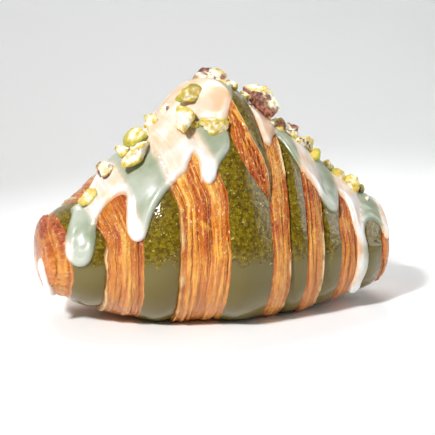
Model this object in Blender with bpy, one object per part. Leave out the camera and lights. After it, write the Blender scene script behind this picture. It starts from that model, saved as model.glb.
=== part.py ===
"""Croissant rolled from green and golden dough, iced along its ridge and strewn with chopped pistachios.

The pastry is one closed body laid out over a grid of stations along the roll and angles around it.
The icing is a second body that follows the same grid just clear of the pastry, and the nuts are joined to it.
Lengths are in millimetres until the meshes are written in metres.
"""
import math
import random

import bmesh
import bpy
import numpy as np
from mathutils import Matrix, Vector

MM = 0.001

# Size of the roll: the two blunt ends, how deep their rounding is, and the half depths in plan.
LEFT_END = -75.5
RIGHT_END = 73.0
END_ROUNDING = 7.0
MIDDLE_HALF_DEPTH = 40.5
END_HALF_DEPTH = 17.5

# Height of the top line at stations along the roll.
TOP_LINE = ((-68.5, 41.5), (-58.0, 49.0), (-45.0, 59.5), (-30.0, 73.2), (-16.0, 84.5), (-4.0, 88.3),
            (8.0, 84.8), (22.0, 75.5), (36.0, 64.0), (50.0, 52.3), (60.0, 45.0), (66.0, 41.0))
# How far the underside lifts off the table at the ends, and how far the middle is pressed flat.
LEFT_LIFT = 14.0
RIGHT_LIFT = 10.5
PRESSED_FLAT = 3.0

# Sheet edges and creases of the wraps: station at the front, and how far the band drifts over one turn.
LEFT_WRAPS = (((-6.0, -22.0), (-24.0, -14.0)), ((-38.0, -10.0), (-52.0, -4.0)))
LEFT_LAST_EDGE = (-65.5, -1.0)
RIGHT_WRAPS = (((11.5, 2.0), (19.5, 3.0)), ((27.5, 4.0), (35.0, 5.0)), ((44.0, 5.0), (55.0, 4.0)))
RIGHT_LAST_EDGE = (66.0, 2.0)
SHEET_RISE = 1.5
SHEET_TUCK = -0.6
LAYER_RIPPLE = 0.35
CREASE_LIP = 1.5
CREASE_WIDTH = 0.9

# Tongue of the last wrap: its left edge by angle in degrees, how high it stands and how wide its cut side is.
TONGUE_EDGE = ((-180, 0.0), (-140, -8.0), (-110, -14.0), (-25, -13.0), (-8, -9.5), (2, -4.6), (14, -0.5),
               (28, 2.0), (40, 4.5), (49, 7.0), (58, 10.0), (66, 11.4), (76, 10.6), (100, 4.0), (180, 0.0))
TONGUE_HEIGHT = ((-180, 0.0), (-150, 0.0), (-110, 3.5), (-60, 5.0), (20, 5.0), (45, 4.2), (62, 2.8),
                 (72, 1.2), (82, 0.0), (180, 0.0))
TONGUE_SIDE = ((-180, 1.5), (-110, 4.0), (0, 5.5), (45, 5.5), (60, 4.5), (72, 1.5), (180, 1.5))

# Icing: gap to the pastry, thickness, and its lower edge in degrees from the top, front and back.
ICING_GAP = 0.35
ICING_THICKNESS = 1.5
ICING_ENDS = (-69.8, 69.0)
FRONT_EDGE = ((-70, 22), (-62, 34), (-53, 45), (-46, 41), (-41, 45), (-35, 60), (-30, 60), (-24, 55), (-16, 53),
              (-9, 60), (-5, 57), (-2, 50), (0, 30), (3, 12), (11, 12), (16, 26), (22, 24), (30, 39), (40, 47),
              (47, 44), (51, 42), (60, 50), (70, 52))
# Each run of icing: its middle, its half width, and the angle its end reaches.
FRONT_RUNS = ((-60.6, 4.6, 86), (-39.3, 3.2, 80), (-12.2, 3.4, 65), (14.2, 1.8, 41), (41.0, 2.4, 61), (52.6, 3.0, 118))
BACK_EDGE = ((-70, -60), (-50, -48), (-30, -56), (-10, -46), (10, -54), (30, -47), (50, -52), (70, -48))
BACK_RUNS = ((-66.0, 4.0, -118), (-44.0, 3.4, -84), (-21.0, 3.2, -74), (3.0, 3.6, -92), (25.0, 2.8, -70),
             (44.0, 3.2, -96), (62.0, 3.4, -80))

# Chopped nuts seen in front: station, angle, length, width, thickness, turn on the icing, lean out of it.
NUTS = ((1.0, -10, 12.5, 6.5, 5.5, 10, 8), (5.0, -4, 5.5, 4.0, 3.0, 35, 0), (-13.4, 17, 9.0, 7.0, 5.0, 40, 20),
        (-18.0, 30, 12.5, 7.5, 5.5, 80, 12), (-6.4, 43, 9.5, 5.5, 4.0, -15, 5), (-13.8, 33, 3.6, 2.6, 2.2, 0, 0),
        (-21.6, 5, 6.5, 3.2, 2.6, 10, 0), (-33.0, 14, 8.5, 5.0, 4.2, 15, 10), (-34.8, 29, 12.0, 7.0, 4.6, 8, 15),
        (-44.4, 6, 8.5, 6.0, 4.4, 50, 12), (-54.2, 28, 6.5, 4.5, 3.6, 20, 5), (17.5, 2, 15.5, 5.4, 5.0, -50, 10),
        (28.6, 4, 8.5, 6.0, 5.0, -30, 10), (31.4, 0, 4.6, 3.0, 2.8, -60, 25), (36.5, 6, 6.5, 5.5, 4.6, 20, 5),
        (39.8, 13, 5.0, 4.4, 3.8, 70, 0), (45.0, 8, 5.0, 3.6, 3.0, 0, 0), (52.5, 12, 7.0, 5.4, 4.4, 35, 5),
        (56.0, 22, 5.6, 4.6, 3.8, -20, 0), (-60.5, 2, 4.4, 3.2, 2.6, 30, 0), (24.0, 12, 3.2, 2.6, 2.2, 0, 0))
BACK_NUTS = 12
NUT_SEED = 7

AROUND = 42

SLOPES = {}

DOUGH_COLOUR = (0.48, 0.26, 0.07, 1.0)
ICING_COLOUR = (0.86, 0.83, 0.74, 1.0)


def clear_scene():
    """Removes whatever the file starts with."""
    for obj in list(bpy.data.objects):
        bpy.data.objects.remove(obj, do_unlink=True)


def slopes(stations):
    """Slope of the smooth curve at each of its stations."""
    place = [pair[0] for pair in stations]
    value = [pair[1] for pair in stations]
    return [float(item) for item in np.gradient(value, place)]


def through(stations, at):
    """Smooth curve through pairs of place and value, read at one place."""
    if stations not in SLOPES:
        SLOPES[stations] = slopes(stations)
    slope = SLOPES[stations]
    at = min(max(at, stations[0][0]), stations[-1][0])
    low = 0
    while low < len(stations) - 2 and stations[low + 1][0] < at:
        low += 1
    width = stations[low + 1][0] - stations[low][0]
    t = (at - stations[low][0]) / width
    rise = stations[low + 1][1] - stations[low][1]
    bend = (t ** 3 - 2 * t ** 2 + t) * slope[low] + (t ** 3 - t ** 2) * slope[low + 1]
    return stations[low][1] + rise * (3 * t ** 2 - 2 * t ** 3) + width * bend


def surface_point(x, theta, relief):
    """Point of the roll at a station and an angle from the top (positive to the front), raised by the relief."""
    inner_left = LEFT_END + END_ROUNDING
    inner_right = RIGHT_END - END_ROUNDING
    beyond = max(inner_left - x, x - inner_right, 0.0) / END_ROUNDING
    shrink = math.sqrt(max(0.0, 1.0 - min(1.0, beyond) ** 2.2))
    held = min(max(x, inner_left), inner_right)
    lift = LEFT_LIFT if held < 0 else RIGHT_LIFT
    top = through(TOP_LINE, held)
    bottom = lift * (abs(held) / 66.0) ** 2.5 - PRESSED_FLAT
    along = min(1.0, abs(held + 2.0) / 70.0)
    half_depth = END_HALF_DEPTH + (MIDDLE_HALF_DEPTH - END_HALF_DEPTH) * (1 - along ** 1.5)
    fullness = 0.34 - 0.29 * min(1.0, abs(held) / 66.0)
    y = -half_depth * math.sin(theta) * (1 - fullness * math.cos(theta))
    z = 0.5 * (top - bottom) * math.cos(theta)
    radius = math.hypot(y, z)
    grow = shrink * (1 + relief / radius)
    return Vector((x, y * grow, max(0.0, 0.5 * (top + bottom) + z * grow)))


def turn(theta):
    """Share of the drift reached at an angle: it grows from the front over the top and falls back underneath."""
    front, back = math.radians(75), math.radians(-130)
    if theta < back:
        t = (theta + math.pi) / (back + math.pi)
        return t * t * (3 - 2 * t)
    t = min(1.0, max(0.0, (front - theta) / (front - back)))
    return 1 - (1 - t) ** 2.2


def band(pair):
    """Line of a band around the roll, from its front station and its drift."""
    return lambda theta: pair[0] + pair[1] * turn(theta)


def fixed(x):
    """Line that stays at one station."""
    return lambda theta: x


def beside(line, offset):
    """Line that keeps to one side of another."""
    return lambda theta: line(theta) + offset


def tongue_lip(theta):
    """Upper left edge of the tongue, kept to the left of its right edge."""
    limit = band(RIGHT_WRAPS[0][0])(theta) - 1.0
    return min(through(TONGUE_EDGE, math.degrees(theta)), limit)


def tongue_foot(theta):
    """Where the cut side of the tongue meets the wrap below."""
    return tongue_lip(theta) - through(TONGUE_SIDE, math.degrees(theta))


class Column:
    """One ring of vertices: it lies between two lines, at a relief, and on the tongue or off it."""

    def __init__(self, first, second, share, relief, tongue=0.0):
        self.first = first
        self.second = second
        self.share = share
        self.relief = relief
        self.tongue = tongue

    def x(self, theta):
        return (1 - self.share) * self.first(theta) + self.share * self.second(theta)

    def height(self, theta):
        raised = self.tongue * through(TONGUE_HEIGHT, math.degrees(theta))
        return self.relief + raised


def sheet(first, second, cells, tongue=0.0, tucked=True):
    """Columns of a smooth sheet from where it comes out of a crease to its cut edge."""
    rings = []
    for i in range(cells):
        s = i / cells
        low = SHEET_TUCK if tucked else 0.7
        rings.append(Column(first, second, s, low + (0.9 - low) * math.sin(0.5 * math.pi * s ** 0.6)
                            + 0.5 * math.sin(math.pi * s) * (SHEET_RISE - 0.5), tongue))
    return rings


def cut_face(first, second, cells, strength=1.0):
    """Columns of a layered cut face from the sheet edge to the lip of the crease."""
    rings = []
    for i in range(cells):
        s = i / cells
        ripple = LAYER_RIPPLE * strength * (-1 if i % 2 else 1) * (0.4 if i == 0 else 1)
        rings.append(Column(first, second, s, 0.9 + 0.5 * math.sin(math.pi * s) + ripple))
    rings.append(Column(first, second, 1.0, CREASE_LIP))
    return rings


def tip(edge, end, direction):
    """Columns over a blunt end, from the last sheet edge out to just short of the pole."""
    pole = LEFT_END if direction < 0 else RIGHT_END
    rings = [Column(edge, edge, 0, 0.8)]
    for back, relief in ((6.4, 0.3), (5.0, 0.7), (3.4, 0.3), (1.9, 0.4), (0.9, 0.2), (0.25, 0.1)):
        x = pole - direction * back
        if direction * (x - end) > 0.9:
            rings.append(Column(fixed(x), fixed(x), 0, relief))
    return rings


def half(wraps, last, direction, sheet_cells, face_cells):
    """Columns of one side from the first sheet edge out to the end."""
    rings = []
    for index, (edge_pair, crease_pair) in enumerate(wraps):
        edge = band(edge_pair)
        crease = band(crease_pair)
        rings += cut_face(edge, crease, face_cells[index])
        foot = beside(crease, direction * CREASE_WIDTH)
        after = wraps[index + 1][0] if index + 1 < len(wraps) else last
        rings += sheet(foot, band(after), sheet_cells[index])
    rings += tip(band(last), last[0], direction)
    return rings


def all_columns():
    """Every column from the left end to the right end."""
    left = half(LEFT_WRAPS, LEFT_LAST_EDGE, -1, (5, 5), (8, 7))
    right = half(RIGHT_WRAPS, RIGHT_LAST_EDGE, 1, (4, 4, 4), (4, 4, 5))
    first_left = band(LEFT_WRAPS[0][0])
    first_right = band(RIGHT_WRAPS[0][0])
    middle = [Column(first_left, tongue_foot, s, 0.9 + 0.5 * math.sin(math.pi * s)) for s in (0.25, 0.5, 0.75)]
    middle.append(Column(tongue_foot, tongue_foot, 0, 0.6))
    middle.append(Column(tongue_foot, tongue_lip, 0.5, 0.9, 0.55))
    middle.append(Column(tongue_lip, tongue_lip, 0, 0.9, 1.0))
    middle += [Column(tongue_lip, first_right, s, 1.2, 1.0) for s in (0.33, 0.67)]
    middle.append(Column(first_right, first_right, 0, 0.9, 1.0))
    right[0] = Column(beside(first_right, 0.9), beside(first_right, 0.9), 0, 0.7)
    return list(reversed(left)) + middle + right


def edge_angle(stations, runs, x):
    """Angle of the icing's lower edge at a station, with its runs."""
    angle = through(stations, x)
    for middle, half_width, reach in runs:
        share = math.exp(-abs((x - middle) / half_width) ** 3.2)
        angle += share * (reach - angle)
    return math.radians(angle)


def edge_on(column, stations, runs):
    """Angle at which a column crosses the icing's edge."""
    theta = math.radians(stations[len(stations) // 2][1])
    for _ in range(12):
        theta = 0.5 * theta + 0.5 * edge_angle(stations, runs, column.x(theta))
    return theta


def row_angles(column):
    """Angles of a column's vertices, the rows nearest the icing's edges moved onto them, and those two rows."""
    step = 2 * math.pi / AROUND
    angles = [row * step - math.pi for row in range(AROUND)]
    ends = []
    for stations, runs in ((BACK_EDGE, BACK_RUNS), (FRONT_EDGE, FRONT_RUNS)):
        theta = edge_on(column, stations, runs)
        row = round((theta + math.pi) / step)
        shift = 0.8 * (theta - angles[row])
        angles[row] += shift
        angles[row - 1] += 0.4 * shift
        angles[row + 1] += 0.4 * shift
        ends.append(row)
    return angles, ends[0], ends[1]


def wobble(x, theta):
    """Slow unevenness of the baked surface."""
    return 0.35 * math.sin(0.21 * x + 2.1 * math.sin(theta)) + 0.25 * math.sin(0.13 * x - 3 * theta + 1.0)


def grid_mesh(columns, angles):
    """Ball of rings whose vertices carry their column and row and lie on the pastry's surface."""
    bm = bmesh.new()
    count = len(columns) + 1
    bmesh.ops.create_uvsphere(bm, u_segments=AROUND, v_segments=count, radius=1.0)
    col = bm.verts.layers.int.new("column")
    row = bm.verts.layers.int.new("row")
    for vert in bm.verts:
        place = round(math.acos(max(-1.0, min(1.0, -vert.co.z))) / math.pi * count) - 1
        around = round(math.atan2(vert.co.y, vert.co.x) / (2 * math.pi) * AROUND) % AROUND
        vert[col] = place
        vert[row] = around
    for vert in bm.verts:
        if vert[col] < 0 or vert[col] >= len(columns):
            end = LEFT_END if vert[col] < 0 else RIGHT_END
            inner = LEFT_END + END_ROUNDING if vert[col] < 0 else RIGHT_END - END_ROUNDING
            lift = LEFT_LIFT if vert[col] < 0 else RIGHT_LIFT
            middle = 0.5 * (through(TOP_LINE, inner) + lift * (abs(inner) / 66.0) ** 2.5 - PRESSED_FLAT)
            vert.co = Vector((end, 0, middle))
        else:
            column = columns[vert[col]]
            theta = angles[vert[col]][0][vert[row]]
            x = column.x(theta)
            vert.co = surface_point(x, theta, column.height(theta) + wobble(x, theta))
    bmesh.ops.triangulate(bm, faces=bm.faces[:])
    bmesh.ops.recalc_face_normals(bm, faces=bm.faces[:])
    return bm


def under_icing(columns, angles, index, row):
    """Whether a vertex of the grid lies under the icing."""
    if index < 0 or index >= len(columns):
        return False
    rows, back, front = angles[index]
    return back <= row <= front and ICING_ENDS[0] <= columns[index].x(rows[row]) <= ICING_ENDS[1]


def icing_relief(columns, index, theta):
    """Relief of the icing's upper face: never thin over a ridge, and filling the creases."""
    own = columns[index].height(theta)
    near = columns[max(0, index - 2):index + 3]
    mean = sum(column.height(theta) for column in near) / len(near)
    return max(own + ICING_GAP + 0.85 * ICING_THICKNESS, mean + ICING_GAP + ICING_THICKNESS)


def icing_mesh(columns, angles, pastry):
    """Closed sheet over the iced block of the grid."""
    bm = pastry.copy()
    col = bm.verts.layers.int["column"]
    row = bm.verts.layers.int["row"]
    away = []
    for face in bm.faces:
        if not all(under_icing(columns, angles, vert[col], vert[row]) for vert in face.verts):
            away.append(face)
    bmesh.ops.delete(bm, geom=away, context="FACES")
    for vert in bm.verts:
        theta = angles[vert[col]][0][vert[row]]
        column = columns[vert[col]]
        x = column.x(theta)
        vert.co = surface_point(x, theta, column.height(theta) + wobble(x, theta) + ICING_GAP)
    raised = bmesh.ops.extrude_face_region(bm, geom=bm.faces[:], use_keep_orig=True)["geom"]
    for vert in [item for item in raised if isinstance(item, bmesh.types.BMVert)]:
        theta = angles[vert[col]][0][vert[row]]
        x = columns[vert[col]].x(theta)
        vert.co = surface_point(x, theta, icing_relief(columns, vert[col], theta) + wobble(x, theta))
    bmesh.ops.recalc_face_normals(bm, faces=bm.faces[:])
    return bm


def nut_frame(columns, x, theta):
    """Point on the icing's upper face with the outward direction there and the direction along the roll."""
    index = min(range(len(columns)), key=lambda i: abs(columns[i].x(theta) - x))
    relief = icing_relief(columns, index, theta)
    here = surface_point(x, theta, relief)
    along = (surface_point(x + 1.5, theta, relief) - surface_point(x - 1.5, theta, relief)).normalized()
    down = (surface_point(x, theta + 0.05, relief) - surface_point(x, theta - 0.05, relief)).normalized()
    out = down.cross(along).normalized()
    if out.z < 0:
        out.negate()
    return here, out, along


def nut(name, collection, place, size, turned, lean, rng):
    """One chopped piece: a rounded kernel cut off by two knife cuts and set into the icing."""
    here, out, along = place
    length, width, thickness = size
    bm = bmesh.new()
    bmesh.ops.create_uvsphere(bm, u_segments=7, v_segments=4, radius=0.5)
    bmesh.ops.rotate(bm, matrix=Matrix.Rotation(math.pi / 2, 3, "Y"), verts=bm.verts[:])
    for vert in bm.verts:
        vert.co *= 1 + rng.uniform(-0.07, 0.07)
    for _ in range(2):
        normal = Vector((rng.uniform(-1, 1), rng.uniform(-1, 1), rng.uniform(-0.2, 1))).normalized()
        cut = bmesh.ops.bisect_plane(bm, geom=bm.verts[:] + bm.edges[:] + bm.faces[:],
                                     plane_co=normal * rng.uniform(0.22, 0.36), plane_no=normal, clear_outer=True)
        rim = [item for item in cut["geom_cut"] if isinstance(item, bmesh.types.BMEdge)]
        bmesh.ops.contextual_create(bm, geom=rim)
    bmesh.ops.remove_doubles(bm, verts=bm.verts[:], dist=0.02)
    side = out.cross(along).normalized()
    basis = Matrix((along, side, out)).transposed().to_4x4()
    spin = Matrix.Rotation(math.radians(turned), 4, "Z") @ Matrix.Rotation(math.radians(lean), 4, "Y")
    scale = Matrix.Diagonal((length, width, thickness, 1.0))
    bmesh.ops.transform(bm, matrix=spin @ scale, verts=bm.verts[:])
    lowest = min(vert.co.z for vert in bm.verts)
    lift = Matrix.Translation(Vector((0, 0, -lowest - 0.75)))
    bmesh.ops.transform(bm, matrix=Matrix.Translation(here) @ basis @ lift, verts=bm.verts[:])
    bmesh.ops.triangulate(bm, faces=bm.faces[:])
    bmesh.ops.recalc_face_normals(bm, faces=bm.faces[:])
    return to_object(name, bm, collection)


def to_object(name, bm, collection):
    """Object in metres from a mesh in millimetres."""
    bmesh.ops.scale(bm, vec=Vector((MM, MM, MM)), verts=bm.verts[:])
    mesh = bpy.data.meshes.new(name)
    bm.to_mesh(mesh)
    bm.free()
    obj = bpy.data.objects.new(name, mesh)
    collection.objects.link(obj)
    return obj


def join_nuts(icing, cutters):
    """Joins the nuts to the icing, keeps the largest body and removes the separate nuts."""
    modifier = icing.modifiers.new("Nuts", "BOOLEAN")
    modifier.operation = "UNION"
    modifier.operand_type = "COLLECTION"
    modifier.collection = cutters
    modifier.solver = "MANIFOLD"
    bpy.context.view_layer.update()
    graph = bpy.context.evaluated_depsgraph_get()
    mesh = bpy.data.meshes.new_from_object(icing.evaluated_get(graph))
    icing.modifiers.clear()
    old = icing.data
    icing.data = mesh
    bpy.data.meshes.remove(old)
    for obj in list(cutters.objects):
        bpy.data.objects.remove(obj, do_unlink=True)
    bpy.data.collections.remove(cutters)
    drop_scraps(icing.data)


def drop_scraps(mesh):
    """Keeps only the largest connected body of a mesh."""
    bm = bmesh.new()
    bm.from_mesh(mesh)
    bmesh.ops.triangulate(bm, faces=bm.faces[:])
    left = set(bm.verts)
    bodies = []
    while left:
        seed = left.pop()
        body = {seed}
        stack = [seed]
        while stack:
            for edge in stack.pop().link_edges:
                for vert in edge.verts:
                    if vert in left:
                        left.remove(vert)
                        body.add(vert)
                        stack.append(vert)
        bodies.append(body)
    bodies.sort(key=len)
    loose = [vert for body in bodies[:-1] for vert in body]
    bmesh.ops.delete(bm, geom=loose, context="VERTS")
    bm.to_mesh(mesh)
    bm.free()


def paint(obj, name, colour, roughness):
    """Gives an object its own plain material."""
    material = bpy.data.materials.new(name)
    material.use_nodes = True
    shader = material.node_tree.nodes["Principled BSDF"]
    shader.inputs["Base Color"].default_value = colour
    shader.inputs["Roughness"].default_value = roughness
    obj.data.materials.clear()
    obj.data.materials.append(material)
    for polygon in obj.data.polygons:
        polygon.use_smooth = True
        polygon.material_index = 0


def centre_on_table(objects):
    """Moves the meshes so that the middle of their box stands over the origin."""
    corners = [vert.co for obj in objects for vert in obj.data.vertices]
    low = Vector(min(co[i] for co in corners) for i in range(3))
    high = Vector(max(co[i] for co in corners) for i in range(3))
    shift = Vector((-(low.x + high.x) / 2, -(low.y + high.y) / 2, -low.z))
    for obj in objects:
        obj.data.transform(Matrix.Translation(shift))


def build():
    """Makes the pastry and the icing with its nuts."""
    clear_scene()
    parts = bpy.data.collections.new("pistachio_croissant")
    cutters = bpy.data.collections.new("joined_nuts")
    bpy.context.scene.collection.children.link(parts)
    bpy.context.scene.collection.children.link(cutters)
    columns = all_columns()
    angles = [row_angles(column) for column in columns]
    pastry = grid_mesh(columns, angles)
    glaze = icing_mesh(columns, angles, pastry)
    croissant = to_object("croissant", pastry, parts)
    icing = to_object("icing", glaze, parts)
    rng = random.Random(NUT_SEED)
    pieces = [(x, theta, (a, b, c), turned, lean) for x, theta, a, b, c, turned, lean in NUTS]
    for i in range(BACK_NUTS):
        x = -56.0 + 112.0 * (i + 0.5) / BACK_NUTS + rng.uniform(-3, 3)
        length = rng.uniform(5.0, 10.0)
        pieces.append((x, rng.uniform(-58, -34), (length, 0.65 * length, 0.45 * length), rng.uniform(0, 180), 5))
    for i, (x, theta, size, turned, lean) in enumerate(pieces):
        place = nut_frame(columns, x, math.radians(theta))
        piece = nut(f"nut_{i}", cutters, place, size, turned, lean, rng)
        piece.hide_render = True
        piece.display_type = "WIRE"
    join_nuts(icing, cutters)
    paint(croissant, "Baked dough", DOUGH_COLOUR, 0.45)
    paint(icing, "Sugar icing", ICING_COLOUR, 0.3)
    centre_on_table([croissant, icing])


build()
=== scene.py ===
"""Looks of the pistachio croissant: baked two-tone wraps, running icing and chopped nuts.

The form is worked out in millimetres as a roll: a station along it, an angle around it (0 at the top and
positive towards the front) and a relief above the plain form. Each wrap of dough, the icing and the nuts are
built on that form and written in metres.
"""
from __future__ import annotations

import logging
import math
import random
from dataclasses import dataclass
from enum import Enum
from typing import Callable, Sequence

import bmesh
import bpy
import numpy as np
from mathutils import Matrix, Vector
from mathutils.kdtree import KDTree

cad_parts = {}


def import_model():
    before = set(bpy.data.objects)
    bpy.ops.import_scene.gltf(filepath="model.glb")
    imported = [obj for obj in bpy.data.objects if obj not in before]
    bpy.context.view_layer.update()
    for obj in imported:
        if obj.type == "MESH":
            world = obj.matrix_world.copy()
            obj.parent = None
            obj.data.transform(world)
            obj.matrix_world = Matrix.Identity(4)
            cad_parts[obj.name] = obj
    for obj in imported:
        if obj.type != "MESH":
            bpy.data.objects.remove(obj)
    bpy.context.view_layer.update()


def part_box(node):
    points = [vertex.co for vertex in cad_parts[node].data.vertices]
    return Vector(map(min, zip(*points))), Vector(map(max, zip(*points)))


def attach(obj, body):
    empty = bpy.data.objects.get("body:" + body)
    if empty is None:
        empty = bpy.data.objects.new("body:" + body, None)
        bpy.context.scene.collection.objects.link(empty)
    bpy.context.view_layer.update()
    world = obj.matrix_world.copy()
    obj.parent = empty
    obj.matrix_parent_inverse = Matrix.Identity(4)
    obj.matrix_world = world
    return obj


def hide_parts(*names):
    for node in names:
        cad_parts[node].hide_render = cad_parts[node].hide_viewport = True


LOG = logging.getLogger("croissant")
MM = 0.001
LEFT_END_MM = -75.5
RIGHT_END_MM = 73.0
ROUNDING_MM = 7.0
RING_MM = 34.0
Array = np.ndarray
Stations = tuple[tuple[float, float], ...]


class Dough(Enum):
    """How a band of the pastry's surface was made."""

    SHEET = "smooth outer face of a green sheet"
    CUT = "cut side of a sheet, showing its layers"
    END = "cut layers running over a blunt end"


class Finish(Enum):
    """Which material a face takes, as its index on the pastry pieces."""

    GREEN = 0
    GOLDEN = 1


def hex_colour(code: str) -> tuple[float, float, float, float]:
    """Turns an sRGB hex colour to linear.

    Args:
        code: Six hex digits.

    Returns:
        Linear red, green, blue and an alpha of 1.
    """
    parts = [int(code[i:i + 2], 16) / 255 for i in (0, 2, 4)]
    linear = [c / 12.92 if c <= 0.04045 else ((c + 0.055) / 1.055) ** 2.4 for c in parts]
    return (*linear, 1.0)


def through(stations: Stations, at: Array) -> Array:
    """Reads a smooth curve through pairs of place and value.

    Args:
        stations: Places in rising order, with their values.
        at: Where to read it.

    Returns:
        The value at each place.
    """
    place = np.array([pair[0] for pair in stations], float)
    value = np.array([pair[1] for pair in stations], float)
    slope = np.gradient(value, place)
    at = np.clip(at, place[0], place[-1])
    low = np.clip(np.searchsorted(place, at) - 1, 0, len(place) - 2)
    width = place[low + 1] - place[low]
    t = (at - place[low]) / width
    rise = value[low + 1] - value[low]
    bend = (t ** 3 - 2 * t ** 2 + t) * slope[low] + (t ** 3 - t ** 2) * slope[low + 1]
    return value[low] + rise * (3 * t ** 2 - 2 * t ** 3) + width * bend


def smooth_step(low: float, high: float, at: Array) -> Array:
    """Rises smoothly from 0 at low to 1 at high."""
    t = np.clip((at - low) / (high - low), 0, 1)
    return t * t * (3 - 2 * t)


def soft_max(a: Array, b: Array, blend: float) -> Array:
    """Larger of two values, with a rounded joint between them."""
    return 0.5 * (a + b + np.sqrt((a - b) ** 2 + blend * blend))


def cell_value(x: Array, y: Array, z: Array, seed: int) -> Array:
    """Repeatable random number from -1 to 1 for each whole-numbered cell."""
    whole_x, whole_y, whole_z = (part.astype(np.int64) for part in (x, y, z))
    bits = (whole_x * 73856093) ^ (whole_y * 19349663) ^ (whole_z * 83492791)
    bits = (bits ^ (seed * 2654435761)) & 0xFFFFFFFF
    bits = ((bits ^ (bits >> 15)) * 2246822519) & 0xFFFFFFFF
    bits = ((bits ^ (bits >> 13)) * 3266489917) & 0xFFFFFFFF
    return (bits ^ (bits >> 16)) / 0x7FFFFFFF - 1.0


def unevenness(x: Array, y: Array, z: Array, seed: int) -> Array:
    """Smooth random field with features one unit wide.

    Args:
        x: First coordinate, already divided by the feature size.
        y: Second coordinate.
        z: Third coordinate.
        seed: Which field.

    Returns:
        Values from -1 to 1.
    """
    x, y, z = np.broadcast_arrays(np.asarray(x, float), np.asarray(y, float), np.asarray(z, float))
    base = [np.floor(c) for c in (x, y, z)]
    part = [c - b for c, b in zip((x, y, z), base)]
    fade = [p * p * p * (p * (p * 6 - 15) + 10) for p in part]
    total = np.zeros(x.shape)
    for corner in range(8):
        step = [(corner >> axis) & 1 for axis in range(3)]
        weight = np.ones(x.shape)
        for axis in range(3):
            weight = weight * (fade[axis] if step[axis] else 1 - fade[axis])
        total += weight * cell_value(*(b + s for b, s in zip(base, step)), seed)
    return total


def ring(theta: Array) -> tuple[Array, Array]:
    """Place round the roll in millimetres, as two coordinates that meet without a seam."""
    return RING_MM * np.cos(theta), RING_MM * np.sin(theta)


@dataclass(frozen=True)
class Roll:
    """Plain form of the rolled pastry, in millimetres.

    Attributes:
        shift: How far the form is moved along the roll and away from the front to stand over the origin.
        left_end: Station of the left end.
        right_end: Station of the right end.
        rounding: Length over which each end is rounded off.
        middle_half_depth: Half its depth from front to back in the middle.
        end_half_depth: The same at the ends.
        left_lift: How far the left end curves up off the table.
        right_lift: How far the right end does.
        pressed: How much of the underside is pressed flat.
        top_line: Height of its ridge at stations along it.
    """

    shift: tuple[float, float]
    left_end: float = LEFT_END_MM
    right_end: float = RIGHT_END_MM
    rounding: float = ROUNDING_MM
    middle_half_depth: float = 40.5
    end_half_depth: float = 17.5
    left_lift: float = 14.0
    right_lift: float = 10.5
    pressed: float = 3.0
    top_line: Stations = ((-68.5, 41.5), (-58.0, 49.0), (-45.0, 59.5), (-30.0, 73.2), (-16.0, 84.5),
                          (-4.0, 88.3), (8.0, 84.8), (22.0, 75.5), (36.0, 64.0), (50.0, 52.3), (60.0, 45.0),
                          (66.0, 41.0))

    def sections(self, x: Array) -> tuple[Array, Array, Array, Array, Array]:
        """Half height, middle height, half depth, fullness and shrinking of the section at each station."""
        low, high = self.left_end + self.rounding, self.right_end - self.rounding
        beyond = np.clip(np.maximum(low - x, x - high) / self.rounding, 0, 1)
        shrink = np.sqrt(np.clip(1 - beyond ** 2.2, 0, 1))
        held = np.clip(x, low, high)
        lift = np.where(held < 0, self.left_lift, self.right_lift)
        top = through(self.top_line, held)
        bottom = lift * (np.abs(held) / 66.0) ** 2.5 - self.pressed
        along = np.clip(np.abs(held + 2.0) / 70.0, 0, 1)
        depth = self.end_half_depth + (self.middle_half_depth - self.end_half_depth) * (1 - along ** 1.5)
        fullness = 0.34 - 0.29 * np.clip(np.abs(held) / 66.0, 0, 1)
        return 0.5 * (top - bottom), 0.5 * (top + bottom), depth, fullness, shrink

    def wobble(self, x: Array, theta: Array) -> Array:
        """Slow unevenness of the baked form."""
        return 0.35 * np.sin(0.21 * x + 2.1 * np.sin(theta)) + 0.25 * np.sin(0.13 * x - 3 * theta + 1.0)

    def point(self, x: Array, theta: Array, relief: Array, core: Array | float = 1.0,
              floor: Array | float = 0.0) -> Array:
        """Places points of the surface.

        Args:
            x: Stations.
            theta: Angles.
            relief: Heights above the plain form.
            core: Share of the way out from the roll's middle line.
            floor: Lowest height a point may have.

        Returns:
            Points in millimetres, in the part's frame.
        """
        x, theta, relief = np.broadcast_arrays(x, theta, relief)
        half_height, middle, depth, fullness, shrink = self.sections(x)
        y = -depth * np.sin(theta) * (1 - fullness * np.cos(theta))
        z = half_height * np.cos(theta)
        grow = shrink * (1 + (relief + self.wobble(x, theta)) / np.hypot(y, z)) * core
        height = np.maximum(floor, middle + z * grow)
        return np.stack([x + self.shift[0], y * grow + self.shift[1], height], -1)

    def outward(self, x: float, theta: float, relief: float) -> tuple[Vector, Vector, Vector]:
        """A point of the surface with the direction out of it and the direction along the roll."""
        def at(a: float, b: float) -> Vector:
            """Point at a station and an angle."""
            return Vector(self.point(np.array(a), np.array(b), np.array(relief)))

        along = (at(x + 1, theta) - at(x - 1, theta)).normalized()
        down = (at(x, theta + 0.03) - at(x, theta - 0.03)).normalized()
        return at(x, theta), down.cross(along).normalized(), along


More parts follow.
